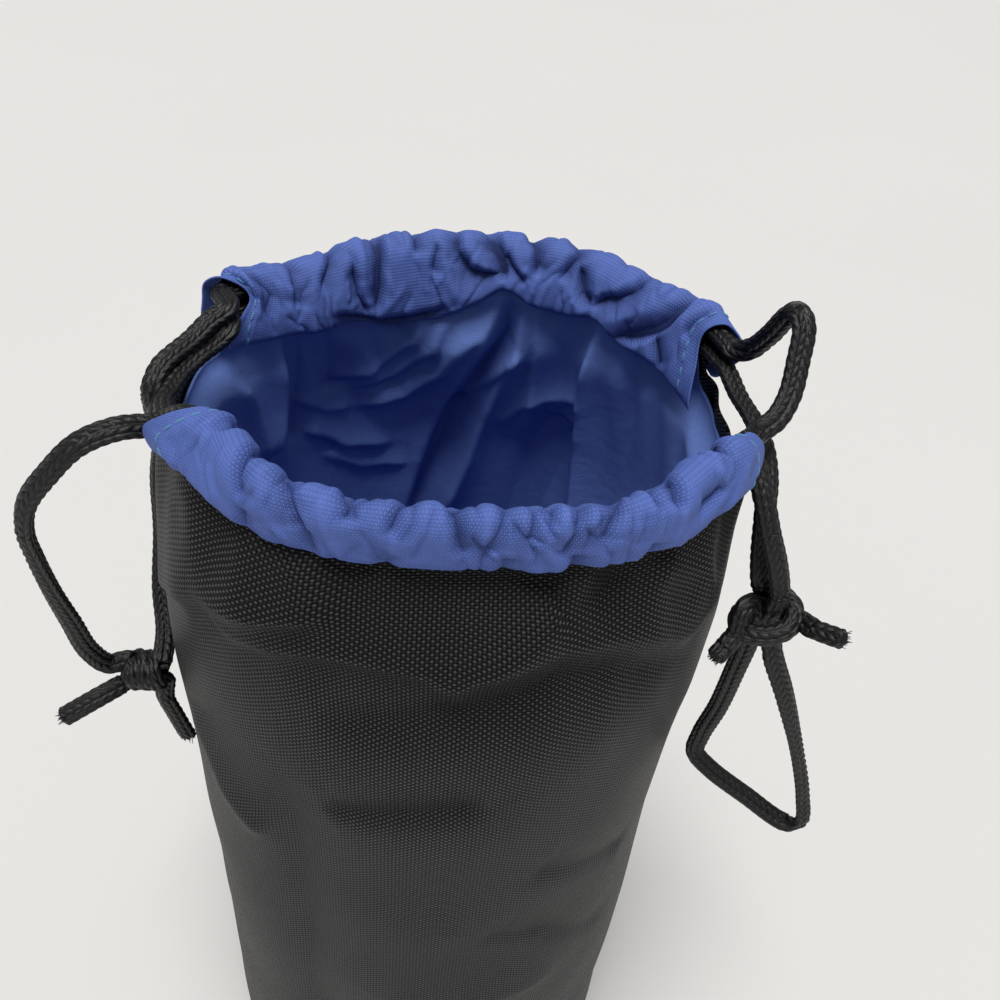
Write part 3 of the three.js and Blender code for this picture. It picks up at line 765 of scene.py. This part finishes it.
# Creases, as (path of (mm from the sleeve's middle, share of the way across), depth)
FRONT_CREASES = [
    ([(-45, 0.62), (-41, 0.46)], 1.5), ([(-37, 0.62), (-34.5, 0.45), (-33, 0.28)], 1.5),
    ([(-29, 0.62), (-26, 0.48), (-24, 0.34), (-23, 0.24)], 1.8),
    ([(-20, 0.6), (-17.5, 0.46), (-17.5, 0.38)], 1.6),
    ([(-15, 0.6), (-17.5, 0.45)], 1.3), ([(-9.5, 0.62), (-10.5, 0.5), (-11.5, 0.32)], 1.5),
    ([(-4, 0.62), (-2.3, 0.46), (-1, 0.18)], 2.1), ([(-1, 0.42), (2, 0.27), (4, 0.42), (5.5, 0.62)], 1.3),
    ([(5, 0.5), (8, 0.35), (9.5, 0.56)], 1.2), ([(9.5, 0.55), (11, 0.4), (12.5, 0.6)], 1.2),
    ([(13, 0.2), (15.3, 0.46), (16.6, 0.62)], 1.6), ([(15.3, 0.46), (18.4, 0.32), (19.2, 0.52)], 1.3),
    ([(18.8, 0.26), (20, 0.39), (21.5, 0.47), (24, 0.62)], 1.8), ([(29, 0.62), (27.5, 0.42)], 1.3),
    ([(34, 0.62), (31, 0.36)], 1.7), ([(35, 0.24), (38.5, 0.26), (41, 0.31)], 1.9),
    ([(46, 0.64), (43, 0.44)], 1.5),
    ([(-23, 0.3), (-22, 0.06)], 1.5), ([(5, 0.22), (5, 0.04)], 1.1), ([(15.3, 0.22), (15.3, 0.04)], 1.7),
    ([(-33, 0.24), (-33, 0.06)], 1.0), ([(-10, 0.2), (-12, 0.05)], 0.9), ([(28, 0.2), (27, 0.05)], 1.0),
]
REAR_CREASES = [
    ([(38, 0.68), (33, 0.54), (32, 0.44)], 1.5),
    ([(20.7, 0.44), (20.7, 0.58), (21.8, 0.77), (23.4, 0.92)], 2.4),
    ([(28, 0.58), (27.4, 0.8), (25, 0.92)], 1.6), ([(42, 0.46), (44, 0.62), (45, 0.78)], 1.3),
    ([(13, 0.44), (13, 0.62)], 1.5), ([(8, 0.56), (9.5, 0.72)], 1.0),
    ([(4, 0.44), (3.5, 0.6), (0.9, 0.71), (-4, 0.78), (-7.5, 0.86)], 2.0),
    ([(-2, 0.44), (-6, 0.6), (-7.5, 0.74), (-8, 0.9)], 2.8), ([(-7, 0.58), (-9.3, 0.74), (-13, 0.84)], 1.7),
    ([(-10.6, 0.44), (-13.5, 0.57), (-14.6, 0.76)], 1.9),
    ([(-19.5, 0.44), (-22.9, 0.54), (-20.4, 0.74)], 1.7),
    ([(-23.9, 0.58), (-26.3, 0.8), (-29.9, 0.9)], 2.1),
    ([(-29.9, 0.9), (-32.6, 0.75), (-35.7, 0.68), (-38.6, 0.59), (-40, 0.46)], 1.9),
    ([(-36, 1.0), (-42.4, 0.9), (-48, 0.78), (-50.2, 0.69), (-51.4, 0.58), (-51, 0.46)], 2.5),
    ([(-48, 0.8), (-52, 0.98)], 1.5), ([(36, 0.88), (30, 0.94), (23, 0.96), (14, 0.95), (4, 0.92)], 1.6),
    ([(52, 0.5), (50, 0.66), (53, 0.84)], 1.0), ([(-57, 0.5), (-56, 0.7)], 1.0),
]
CREASES = {"front": FRONT_CREASES, "rear": REAR_CREASES}
BACK_CREASES = 15  # more of them, at random, on the side that faces away
BACK_SHARES = {"front": (0.58, 0.98), "rear": (0.46, 0.04)}  # where these start and end
CREASE_REACH = (1.7, 4.6)  # from a crease to the full cloth on its steep and on its gentle side
CREASE_DEPTH = {"front": 1.3, "rear": 1.6}
FULLNESS = {"front": 0.75, "rear": 1.0}  # how far the cloth swells between creases
SMALL_CREASES = 100
SMALL_RIDGES = 80
RIDGE_HEIGHT = 0.8  # beside a crease's depth
HEM = 4.0  # from a sleeve's open end to its stitches
STITCH = 2.0
STITCH_GAP = 0.7
STITCH_RADIUS = 0.24
# Pinches of the seam on the lining, as (mm from the middle of the rear casing, lift, half width)
REAR_PINCHES = [(-8, 3.4, 5), (-31, 2.2, 5), (8, -3.0, 7), (19, -4.0, 8), (-62, -4.4, 10), (46, 1.0, 5)]
# How far the cloth reaches past a sleeve's first and last end, as (share of the way across, mm, half width)
SLEEVE_ENDS = {
    "front": ([(0.2, 4.5, 0.13), (0.55, -4.0, 0.16)], [(0.3, 2.0, 0.2)]),
    "rear": ([(0.3, 4.0, 0.17), (0.64, -2.5, 0.14), (1.0, 4.0, 0.2)],
             [(0.34, -1.5, 0.14), (0.64, -7.0, 0.16), (1.0, 2.0, 0.2)]),
}


def crease_depth(places, creases):
    """How deep the creases (path, depth, reach on the left, reach on the right) lie below the full cloth:
    a sharp valley, with a rounded shoulder on both sides."""
    deepest = np.zeros(places.shape[:-1])
    for path, depth, left, right in creases:
        signed, share = distance_to_path(places, np.array(path, float))
        away = np.clip(np.abs(signed) / np.where(signed > 0, left, right), 0, 1)
        ends = smooth_step(np.minimum(share, 1 - share) / 0.25 + 0.2)
        shoulder = 0.5 * away**0.9 + 0.5 * (away * (2 - away)) ** 0.7
        deepest = np.maximum(deepest, depth * ends * (1 - shoulder))
    return deepest


def random_creases(rng, along, girth, count, bent):
    """Short creases all over a sleeve, most of them across it."""
    creases = []
    for _ in range(count):
        middle = np.array([rng.uniform(along.min(), along.max()), girth * rng.uniform(0.05, 0.95)])
        turn = rng.normal(math.pi / 2, 0.6)
        way = np.array([math.cos(turn), math.sin(turn)]) * rng.uniform(2.0, 5.0)
        bend = np.array([-way[1], way[0]]) * rng.uniform(-bent, bent)
        path = [middle - way, middle + bend, middle + way]
        depth = rng.uniform(0.25, 0.7)
        creases.append((path, depth, 1.0, rng.uniform(1.2, 2.6)))
    return creases


def crumple(half, along, across, girth, seed):
    """Stand-off of gathered cloth, full between sharp creases, and how hollow it is, which the sleeve's
    colour turns into painted shade, with `along` from the sleeve's middle."""
    rng = np.random.default_rng(seed)
    creases = list(CREASES[half])
    near, far = BACK_SHARES[half]
    for place in np.linspace(along.min() + 5, along.max() - 5, BACK_CREASES):
        place += rng.uniform(-2.5, 2.5)
        creases.append(([(place, near), (place + rng.uniform(-4, 4), far)], rng.uniform(1.2, 2.2)))
    places = np.stack([along, girth * across], -1)
    folds = []
    for path, depth in creases:
        left, right = rng.permutation(CREASE_REACH)
        folds.append(([(x, girth * y) for x, y in path], CREASE_DEPTH[half] * depth, left, right))
    full = 0.7 + FULLNESS[half] * smooth_step((across - 0.12) / 0.3)
    small = crease_depth(places, random_creases(rng, along, girth, SMALL_CREASES, 0.3))
    ridges = crease_depth(places, random_creases(rng, along, girth, SMALL_RIDGES, 0.05))
    hollow = crease_depth(places, folds) + small - RIDGE_HEIGHT * ridges
    return full - hollow, hollow


def mouth_point(angle, out, up):
    """A point of a casing where the slack mouth is: leaning, pushed in and hanging down."""
    lean = np.radians(humps_round(angle, MOUTH_LEANS))
    rise = up - LEAN_FOOT
    points = casing_point(angle, out * np.cos(lean) - rise * np.sin(lean),
                          LEAN_FOOT + rise * np.cos(lean) + out * np.sin(lean))
    points[..., 2] -= humps_round(angle, MOUTH_DROPS)
    return push_out(points, angle, -humps_round(angle, MOUTH_DENTS))


def tallness(half, along):
    """How much taller the flatter stretches of a sleeve stand, with `along` from its middle."""
    taller = 0.08 if half == "front" else 0
    return 1 + taller * smooth_step((-12 - along) / 22)


def seam_lift(half, along, across):
    """How far pinches draw up the seam on the lining."""
    if half == "front":
        return 0 * along
    return humps(along, REAR_PINCHES) * smooth_step((across - 0.55) / 0.45)


def gathered_lengths(half):
    """Angles round the mouth, the lengths to them along a casing's middle, and the same along its cloth."""
    angles = np.radians(np.linspace(*SLEEVES[half], SLEEVE_FINENESS))
    along = path_length(casing_point(angles, 0 * angles, 0 * angles))
    from_end = np.minimum(along, along[-1] - along)
    ratio = 1 + EXTRA_CLOTH * smooth_step((from_end - 4) / 8)
    cloth = np.concatenate([[0], np.cumsum(np.diff(along) * (ratio[1:] + ratio[:-1]) / 2)])
    return angles, along, cloth


def sleeve_section(half):
    """Points of a sleeve's section, the lengths to them, and the ways out of the cloth."""
    section = smooth_path([(*p, 0) for p in SLEEVE_SECTION[half]], SLEEVE_STEP)[:, :2]
    tangent = unit(np.gradient(section, axis=0))
    return section, path_length(section), np.stack([tangent[:, 1], -tangent[:, 0]], -1)


def sleeve_points(half, seed):
    """Points of a gathered sleeve, their places on the flat cloth, and how hollow the cloth is there, for
    painted shade.
    """
    angles, along, cut = gathered_lengths(half)
    section, length, outward = sleeve_section(half)
    girth = length[-1]
    flat = np.linspace(0, cut[-1], int(cut[-1] / SLEEVE_STEP) + 1)
    across = (length / girth)[:, None] + 0 * flat[None, :]
    s = np.interp(flat, cut, along)[None, :] + 0 * across
    middle = s - s.max() / 2
    free = 0.25 + 0.75 * smooth_step((np.minimum(s, s.max() - s) - 1) / 6)
    seams = smooth_step(np.minimum(across, 1 - across) / 0.06)
    puff, hollow = crumple(half, middle, across, girth, seed)
    swell = free * (0.3 + 0.7 * seams) * puff + 0.4 * (1 - free) * waves(s, girth * across, seed + 40, 12.0)
    place = section[:, None] + outward[:, None] * np.maximum(swell, DEEPEST)[..., None]
    place[..., 1] = LEAN_FOOT + (place[..., 1] - LEAN_FOOT) * tallness(half, middle)
    place[..., 1] += seam_lift(half, middle, across)
    first, last = (humps(across, table) for table in SLEEVE_ENDS[half])
    shift = last * smooth_step(1 - (s.max() - s) / 9) - first * smooth_step(1 - s / 9)
    radians_per_mm = np.gradient(angles, along)
    angle = np.interp(flat, cut, angles)[None, :] + shift * np.interp(flat, cut, radians_per_mm)[None, :]
    points = mouth_point(angle, place[..., 0], place[..., 1])
    cloth = np.stack([flat[None, :] + shift, length[:, None] + 0 * flat[None, :]], -1)
    return points, cloth, free * hollow


def make_hem_stitches(half, points, thread):
    """A row of stitches round each open end of a sleeve."""
    outward = unit(np.cross(np.gradient(points, axis=1), np.gradient(points, axis=0)))
    parts = []
    for column in (int(HEM / SLEEVE_STEP), -1 - int(HEM / SLEEVE_STEP)):
        row = points[:, column] + SLEEVE_CLOTH * outward[:, column]
        line = smooth_path(row.tolist(), 0.2)
        length = path_length(line)
        for start in np.arange(1.0, length[-1] - STITCH, STITCH + STITCH_GAP):
            inside = (length >= start) & (length <= start + STITCH)
            parts.append(round_tube(line[inside], STITCH_RADIUS))
    stitches = mesh_object(f"stitches_{half}", parts, thread)
    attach(stitches, f"{half}_rim")


def make_casing(half, material, thread):
    points, cloth, hollow = sleeve_points(half, SLEEVE_SEEDS[half])
    sleeve = mesh_object(f"sleeve_{half}", [grid_data(points[:, ::-1], cloth[:, ::-1])], material)
    # How hollow the creases are, which the sleeve's material paints as shade
    layer = sleeve.data.attributes.new("hollow", "FLOAT", "POINT")
    layer.data.foreach_set("value", hollow[:, ::-1].ravel())
    thicken(sleeve, SLEEVE_CLOTH)
    finer = sleeve.modifiers.new("finer", "SUBSURF")
    finer.levels = 1
    finer.render_levels = 1
    dress(f"{half}_casing")
    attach(sleeve, f"{half}_rim")
    make_hem_stitches(half, points, thread)


# Cords

PLAIT_COLUMNS = 8
PLAIT_LENGTH = 1.9
PLAIT_SLANT = 0.9
PLAIT_RELIEF = 0.6
BRAID_STEP = 0.3
BRAID_SIDES = 56
ROUTE_FINENESS = 60  # samples between two points of a route
RUN_FINENESS = 1000  # the same along a casing
FIBRES = 45  # at each cut end
FIBRE_RADIUS = 0.09
FIBRE_SEED = 51


def smooth_path(points, step):
    """Points at even steps along the centripetal Catmull-Rom curve through `points`."""
    knots = np.array(points, float)
    padded = np.vstack([2 * knots[0] - knots[1], knots, 2 * knots[-1] - knots[-2]])
    fine = []
    for i in range(len(knots) - 1):
        p = padded[i : i + 4]
        t = path_length(p, 0.5)
        x = np.linspace(t[1], t[2], ROUTE_FINENESS, endpoint=False)[:, None]
        a = [((t[k + 1] - x) * p[k] + (x - t[k]) * p[k + 1]) / (t[k + 1] - t[k]) for k in range(3)]
        b = [((t[k + 2] - x) * a[k] + (x - t[k]) * a[k + 1]) / (t[k + 2] - t[k]) for k in range(2)]
        fine.append(((t[2] - x) * b[0] + (x - t[1]) * b[1]) / (t[2] - t[1]))
    fine = np.vstack([*fine, knots[-1:]])
    length = path_length(fine)
    even = np.linspace(0, length[-1], max(8, int(length[-1] / step)))
    return np.stack([np.interp(even, length, fine[:, k]) for k in range(3)], -1)


def plait(distance, turn):
    """Relief, 0 to 1, of a plaited sheath: columns of floats that slant left and right in turn."""
    column = turn / (2 * math.pi) * PLAIT_COLUMNS
    number = np.floor(column)
    x = 2 * (column - number - 0.5)
    odd = number % 2
    y = distance / PLAIT_LENGTH + (odd - 0.5) * x * PLAIT_SLANT + 0.5 * odd
    y = 2 * (y - np.floor(y) - 0.5)
    return np.sqrt(np.clip(1 - x**2, 0, 1)) * np.clip(1 - np.abs(y) ** 2.5, 0, 1) ** 0.6


def braid(line, faces, width=BRAID_WIDTH, thickness=BRAID_THICKNESS, cut_end=False):
    """Mesh data of a flattened braid along a line. `faces` are the ways that its flat side looks, from
    the start to the end of the line. A cut end is drawn in."""
    tangent = unit(np.gradient(line, axis=0))
    share = np.linspace(0, 1, len(line))
    marks = np.linspace(0, 1, len(faces))
    look = np.stack([np.interp(share, marks, np.array(faces, float)[:, k]) for k in range(3)], -1)
    normal = unit(look - (look * tangent).sum(-1, keepdims=True) * tangent)
    side = np.cross(tangent, normal)
    distance = path_length(line)
    turn = np.linspace(0, 2 * math.pi, BRAID_SIDES, endpoint=False)
    relief = PLAIT_RELIEF * (plait(distance[:, None], turn[None, :]) - 1) * (0.5 + 0.5 * np.sin(turn) ** 2)
    tip = np.ones(len(line))
    if cut_end:
        tip = np.clip(0.35 + (distance[-1] - distance) / 0.8, 0, 1) ** 0.5
    across = (width / 2 + relief) * np.cos(turn) * tip[:, None]
    through = (thickness / 2 + relief) * np.sin(turn) * tip[:, None]
    points = line[:, None] + across[..., None] * side[:, None] + through[..., None] * normal[:, None]
    points = points[:, ::-1]
    girth = np.linspace(0, math.pi * (width + thickness) / 2, BRAID_SIDES + 1)
    cloth = np.stack(np.broadcast_arrays(distance[:, None], girth[None, :]), -1)
    return with_caps(points, cloth)


def shrunk(ring, share):
    middle = ring.mean(0)
    return middle + (ring - middle) * share


def with_caps(rings, cloth):
    """A tube with its ends drawn in by two smaller rings each."""
    start = [shrunk(rings[0], share) for share in (0.02, 0.6)]
    end = [shrunk(rings[-1], share) for share in (0.6, 0.02)]
    cloth = np.concatenate([cloth[:1], cloth[:1], cloth, cloth[-1:], cloth[-1:]])
    return grid_data(np.concatenate([start, rings, end]), cloth, closed=True)


def round_tube(line, radius, sides=8):
    """Mesh data of a thread along a line, slimmer at both ends."""
    tangent = unit(np.gradient(line, axis=0))
    side = unit(np.cross(tangent, (0.3, 0.2, 0.9)))
    over = np.cross(side, tangent)
    turn = np.linspace(0, 2 * math.pi, sides, endpoint=False)
    ring = np.cos(turn)[None, :, None] * side[:, None] + np.sin(turn)[None, :, None] * over[:, None]
    slim = np.sin(np.linspace(0.15, math.pi - 0.15, len(line))) ** 0.4
    rings = line[:, None] + radius * slim[:, None, None] * ring
    return with_caps(rings[:, ::-1], np.zeros((len(line), sides + 1, 2)))


def frayed_end(line):
    """Short fibres that stand out of a cut end, rooted inside the cord."""
    rng = np.random.default_rng(FIBRE_SEED)
    way = unit(line[-1] - line[-4])
    fibres = []
    for _ in range(FIBRES):
        aside = rng.normal(0, 0.55, 3)
        root = line[-1] - way + aside - (aside @ way) * way
        tip = root + unit(way + rng.normal(0, 0.25, 3)) * rng.uniform(1.1, 1.8)
        fibre = np.linspace(root, tip, 6)
        fibres.append(round_tube(fibre, FIBRE_RADIUS, 5))
    return fibres


def run_points(cord, half, share_from, share_to, count, lower=0.0):
    """Points of a cord inside a casing, between two shares of the casing's angle."""
    angle = np.radians(np.linspace(*CASINGS[half], RUN_FINENESS + 1))
    line = mouth_point(angle, 0 * angle, np.full_like(angle, RUN_UP[cord] - lower))
    shares = np.linspace(share_from, share_to, count)
    return [line[int(round(x * RUN_FINENESS))].tolist() for x in shares]


def leaving(cord, half, at_end):
    """The last points inside a casing and the first outside it, on the way out."""
    inside = run_points(cord, half, *((0.9, 1.0) if at_end else (0.1, 0.0)), 3)
    tip = np.array(inside[-1])
    way = unit(tip - np.array(inside[-2]))
    return inside + [(tip + way * (LAYER_GAP + STRAIGHT_OUT)).tolist()]


# Routes, chosen point by point near those of the solids
LEFT_KNOT = np.array([-61.5, -18.5, 165])
LEFT_KNOT_REACH = 3.3
LEFT_KNOT_RADIUS = 2.8
LEFT_KNOT_POINTS = 9
RIGHT_KNOT = np.array([59.6, -27, 199.4])
KNOT_UNIT = 3.6  # the right knot's paths are in cord diameters
# Ways that the braids' flat sides look
LEFT_FACES = [(-0.1, -0.5, 0.85), (-0.5, -0.7, 0.5), (0.3, -0.7, 0.5)]  # top, middle and end of a lead
RIGHT_FACES = {"front": (0.4, -0.8, 0.5), "rear": (0.3, -0.8, 0.5)}
LOOP_FACES = [(0.2, -1, 0.3), (0.9, -0.4, 0.1), (0.3, -0.8, 0.6), (-0.2, -0.7, 0.7), (-0.4, -0.9, 0.4)]
BRIDGE_FACES = {"left": (0.1, -0.8, 0.6), "right": (-0.3, -0.6, 0.75)}

left_front_top = run_points("left", "front", 0.1, 0.06, 2) + [
    [-50, -21, 231.6], [-54.8, -23.5, 232.4], [-60.4, -26, 230.8], [-66, -27.5, 225.3], [-70.3, -28, 219.4],
]
left_front_lead = [
    [-72.1, -28, 213], [-72.4, -27, 205.8], [-72.2, -25.5, 196.2], [-71.6, -23.5, 185.5],
    [-70.7, -21.5, 174.1], [-68.4, -19.6, 168],
]
left_front_tail = [[-59, -18.5, 156.5], [-57.8, -18.5, 150.3], [-55.8, -18.8, 142.3]]
left_rear_top = run_points("left", "rear", 0.9, 0.94, 2) + [
    [-44, 12.5, 234.6], [-46.6, 9.5, 233.5], [-49.3, 5.5, 231.8], [-53.6, -2, 230.1], [-55, -5.5, 226.6],
    [-56.8, -1, 219],
]
left_rear_lead = [[-57.8, 4, 210], [-60.1, 5, 198], [-60.3, 2, 186], [-60.2, -5, 176], [-58.6, -12, 170]]
left_rear_tail = [[-66.5, -20.5, 162.6], [-70.8, -24, 162.1], [-77.5, -27, 159]]
left_bridge = leaving("left", "rear", False) + [
    [54.3, 6, 236.8], [55.8, 2.6, 242], [57, 0, 247.4], [57.8, -2.6, 249.6], [58.4, -5, 248.2],
    [57.8, -8.4, 243.8], [56.6, -12.4, 239], [54.2, -15.6, 236.2], [51.2, -17.6, 235],
] + leaving("left", "front", True)[::-1]
right_front_top = leaving("right", "front", True) + [[51.6, -19.2, 228.8], [53.6, -22.4, 224.6]]
right_front_lead = [[55.8, -25.4, 218.6], [58.6, -27, 212]]
right_loop = [
    [63.8, -28, 189], [68.6, -29, 179], [76.3, -30, 161], [81.6, -31.6, 146], [83.2, -32.8, 137.6],
    [80.6, -31.4, 135], [71, -27.6, 139.6], [62, -24.6, 145.2], [58.2, -22.8, 148.8], [58, -22.6, 155],
    [58.8, -24, 167.4], [58.4, -26, 182],
]
right_short_tail = [[52, -31.6, 195.2], [49.9, -33.4, 193.8]]
right_rear_top = leaving("right", "rear", False) + [
    [53.2, 2, 228.8], [54.6, -5, 228.4], [55.6, -11.5, 227], [56, -16.6, 223.6],
]
right_rear_lead = [[56.2, -20, 217.6], [56.8, -22.4, 211]]
right_long_tail = [[67.2, -31.8, 201.4], [69.2, -34, 202.4], [71.2, -36, 203.4]]
right_bridge = run_points("right", "rear", 0.9, 0.94, 2) + [
    [-43.6, 10.5, 231.4], [-45.9, 7.5, 229.8], [-48.2, 3.5, 229.3], [-50.2, -1, 228.6], [-51, -6, 228.3],
    [-50.9, -11, 228.8],
] + run_points("right", "front", 0.05, 0.1, 2)


def twist_points(side):
    """The path of one of the two cords through the left knot: -1 from the left, 1 from the right."""
    share = np.linspace(0, 1, LEFT_KNOT_POINTS)
    turn = 3 * math.pi * share
    along = side * LEFT_KNOT_REACH * (1 - 2 * share)
    across = side * LEFT_KNOT_RADIUS * np.sin(turn)
    return (LEFT_KNOT + np.stack([along, across, LEFT_KNOT_RADIUS * np.cos(turn)], -1)).tolist()


def in_right_knot(points):
    return (RIGHT_KNOT + np.array(points) * KNOT_UNIT).tolist()


right_knot_down = in_right_knot([
    [0.29, -0.14, 1.7], [0.24, -0.29, 0.95], [0.31, 0.1, 0], [0.52, 0.12, -0.95], [0.8, -0.07, -1.75],
])
right_knot_up = in_right_knot([
    [-0.38, 0, -1.8], [-0.4, 0.14, -0.95], [-0.4, 0.19, -0.12], [-0.71, 0.19, 0.64], [-1.28, -0.24, 0.76],
    [-1.52, -0.67, 0.14], [-1.57, -0.86, -0.57],
])
right_knot_wrap = in_right_knot([
    [-0.48, 0.76, 1.67], [-0.14, 1.02, 1.1], [0.71, 0.81, 0.86], [1.33, 0, 0.62], [1, -1, 0.29],
    [0, -1.28, -0.14], [-1.05, -0.86, -0.48], [-1.33, 0.05, -0.62], [-0.81, 0.9, -0.67],
    [0.24, 1.05, -0.52], [1.1, 0.48, -0.24], [1.67, -0.33, 0.14],
])


def cut_route(*stretches):
    """One smooth line through all the stretches, cut where each next one starts. A stretch ends on the
    first point of the next."""
    points = [p for stretch in stretches for p in stretch]
    line = smooth_path(points, BRAID_STEP)
    starts = np.cumsum([0] + [len(stretch) for stretch in stretches[:-1]])
    cuts = [int(np.argmin(np.linalg.norm(line - points[i], axis=1))) for i in starts] + [len(line) - 1]
    return [line[a : b + 1] for a, b in zip(cuts[:-1], cuts[1:])]


def braid_piece(cord, stretch, lines, faces, material, **shape):
    """The braid of one stretch of a cord, along one line or more."""
    data = [braid(line, faces, **shape) for line in lines]
    if "cut_end" in shape:
        data += frayed_end(lines[0])
    piece = mesh_object(f"braid_{cord}_{stretch}", data, material)
    dress(f"{cord}_cord_{stretch}")
    return piece


def tied_piece(cord, stretch, lines, faces, material, **shape):
    """A stretch that moves with the cord's knot."""
    piece = braid_piece(cord, stretch, lines, faces, material, **shape)
    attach(piece, f"{cord}_tie")
    return piece


def make_runs(material):
    """The hidden stretches inside the casings, thin enough to stay inside the cloth."""
    for cord in ("left", "right"):
        for half in ("front", "rear"):
            line = smooth_path(run_points(cord, half, 0.09, 0.91, 24, 0.8), 3 * BRAID_STEP)
            run = braid_piece(cord, f"{half}_run", [line], [(0, 0, 1)], material, width=2.0, thickness=2.6)
            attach(run, f"{half}_rim")


def make_bridge(cord, points, material):
    """The slack stretch across a gap, which moves with the pouch."""
    line = smooth_path(points, BRAID_STEP)
    bridge = braid_piece(cord, "bridge", [line], [BRIDGE_FACES[cord]], material)
    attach(bridge, "pouch")
    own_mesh(bridge)


def make_leads(cord, half, top, lead, top_faces, lead_faces, material):
    """The two stretches from a casing down to the knot, with their placement baked into their meshes."""
    upper = braid_piece(cord, f"{half}_lead_top", [top], top_faces, material)
    lower = braid_piece(cord, f"{half}_lead", [lead], lead_faces, material)
    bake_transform(upper)
    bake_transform(lower)
    return upper, lower


def make_left_cord(material):
    routes = {
        "front": cut_route(left_front_top, left_front_lead, twist_points(-1), left_front_tail),
        "rear": cut_route(left_rear_top, left_rear_lead, twist_points(1), left_rear_tail),
    }
    twists = [route[2] for route in routes.values()]
    on_cord = [tied_piece("left", "knot", twists, [(0, -1, 0.3)], material, width=4.1, thickness=3.3)]
    for half, route in routes.items():
        tail = tied_piece("left", f"{half}_tail", [route[3]], [(-0.3, -0.9, 0.3)], material, cut_end=True)
        on_cord.append(tail)
    for half, route in routes.items():
        top, lead = route[:2]
        upper, lower = make_leads("left", half, top, lead, LEFT_FACES[:2], LEFT_FACES[1:], material)
    make_bridge("left", left_bridge, material)


def make_right_cord(material):
    front = cut_route(right_front_top, right_front_lead, right_knot_down, right_loop, right_knot_up,
                      right_short_tail)
    rear = cut_route(right_rear_top, right_rear_lead, right_knot_wrap, right_long_tail)
    turns = [front[2], front[4], rear[2]]
    on_cord = [tied_piece("right", "knot", turns, [(0.2, -1, 0.5)], material, width=4.2, thickness=3.4)]
    for stretch, line in (("short_tail", front[5]), ("long_tail", rear[3])):
        tail = tied_piece("right", stretch, [line], [(0, -0.6, 0.8)], material, width=3.9, thickness=3.4,
                          cut_end=True)
        on_cord.append(tail)
    for half, route in (("front", front), ("rear", rear)):
        top, lead = route[:2]
        faces = [RIGHT_FACES[half]]
        upper, lower = make_leads("right", half, top, lead, faces, faces, material)
        on_cord.append(lower)
        if half == "front":
            on_cord.append(upper)
    loop = tied_piece("right", "loop", [front[3]], LOOP_FACES, material)
    make_bridge("right", right_bridge, material)


make_camera()
make_light()
make_floor()
black_nylon = nylon_material()
# The lining and the sleeves are one cloth: the lining's copy is painted lighter, as painted light in the
# shaded inside of the pouch
blue_lining_painted_lighter = lining_material("blue_lining_painted_lighter", (0.038, 0.076, 0.255), (0.178, 0.286, 0.72))
blue_sleeve = lining_material("blue_sleeve", (0.012, 0.026, 0.115), (0.117, 0.190, 0.575))
black_braid = braid_material()
pale_foam = foam_material()
blue_thread = thread_material()
for side in ("front", "rear"):
    make_outer_panel(side, black_nylon)
    make_padding(side, pale_foam)
    make_lining_panel(side, blue_lining_painted_lighter)
make_bottom(black_nylon, pale_foam, blue_lining_painted_lighter)
for side in ("front", "rear"):
    make_casing(side, blue_sleeve, blue_thread)
make_runs(black_braid)
make_left_cord(black_braid)
make_right_cord(black_braid)
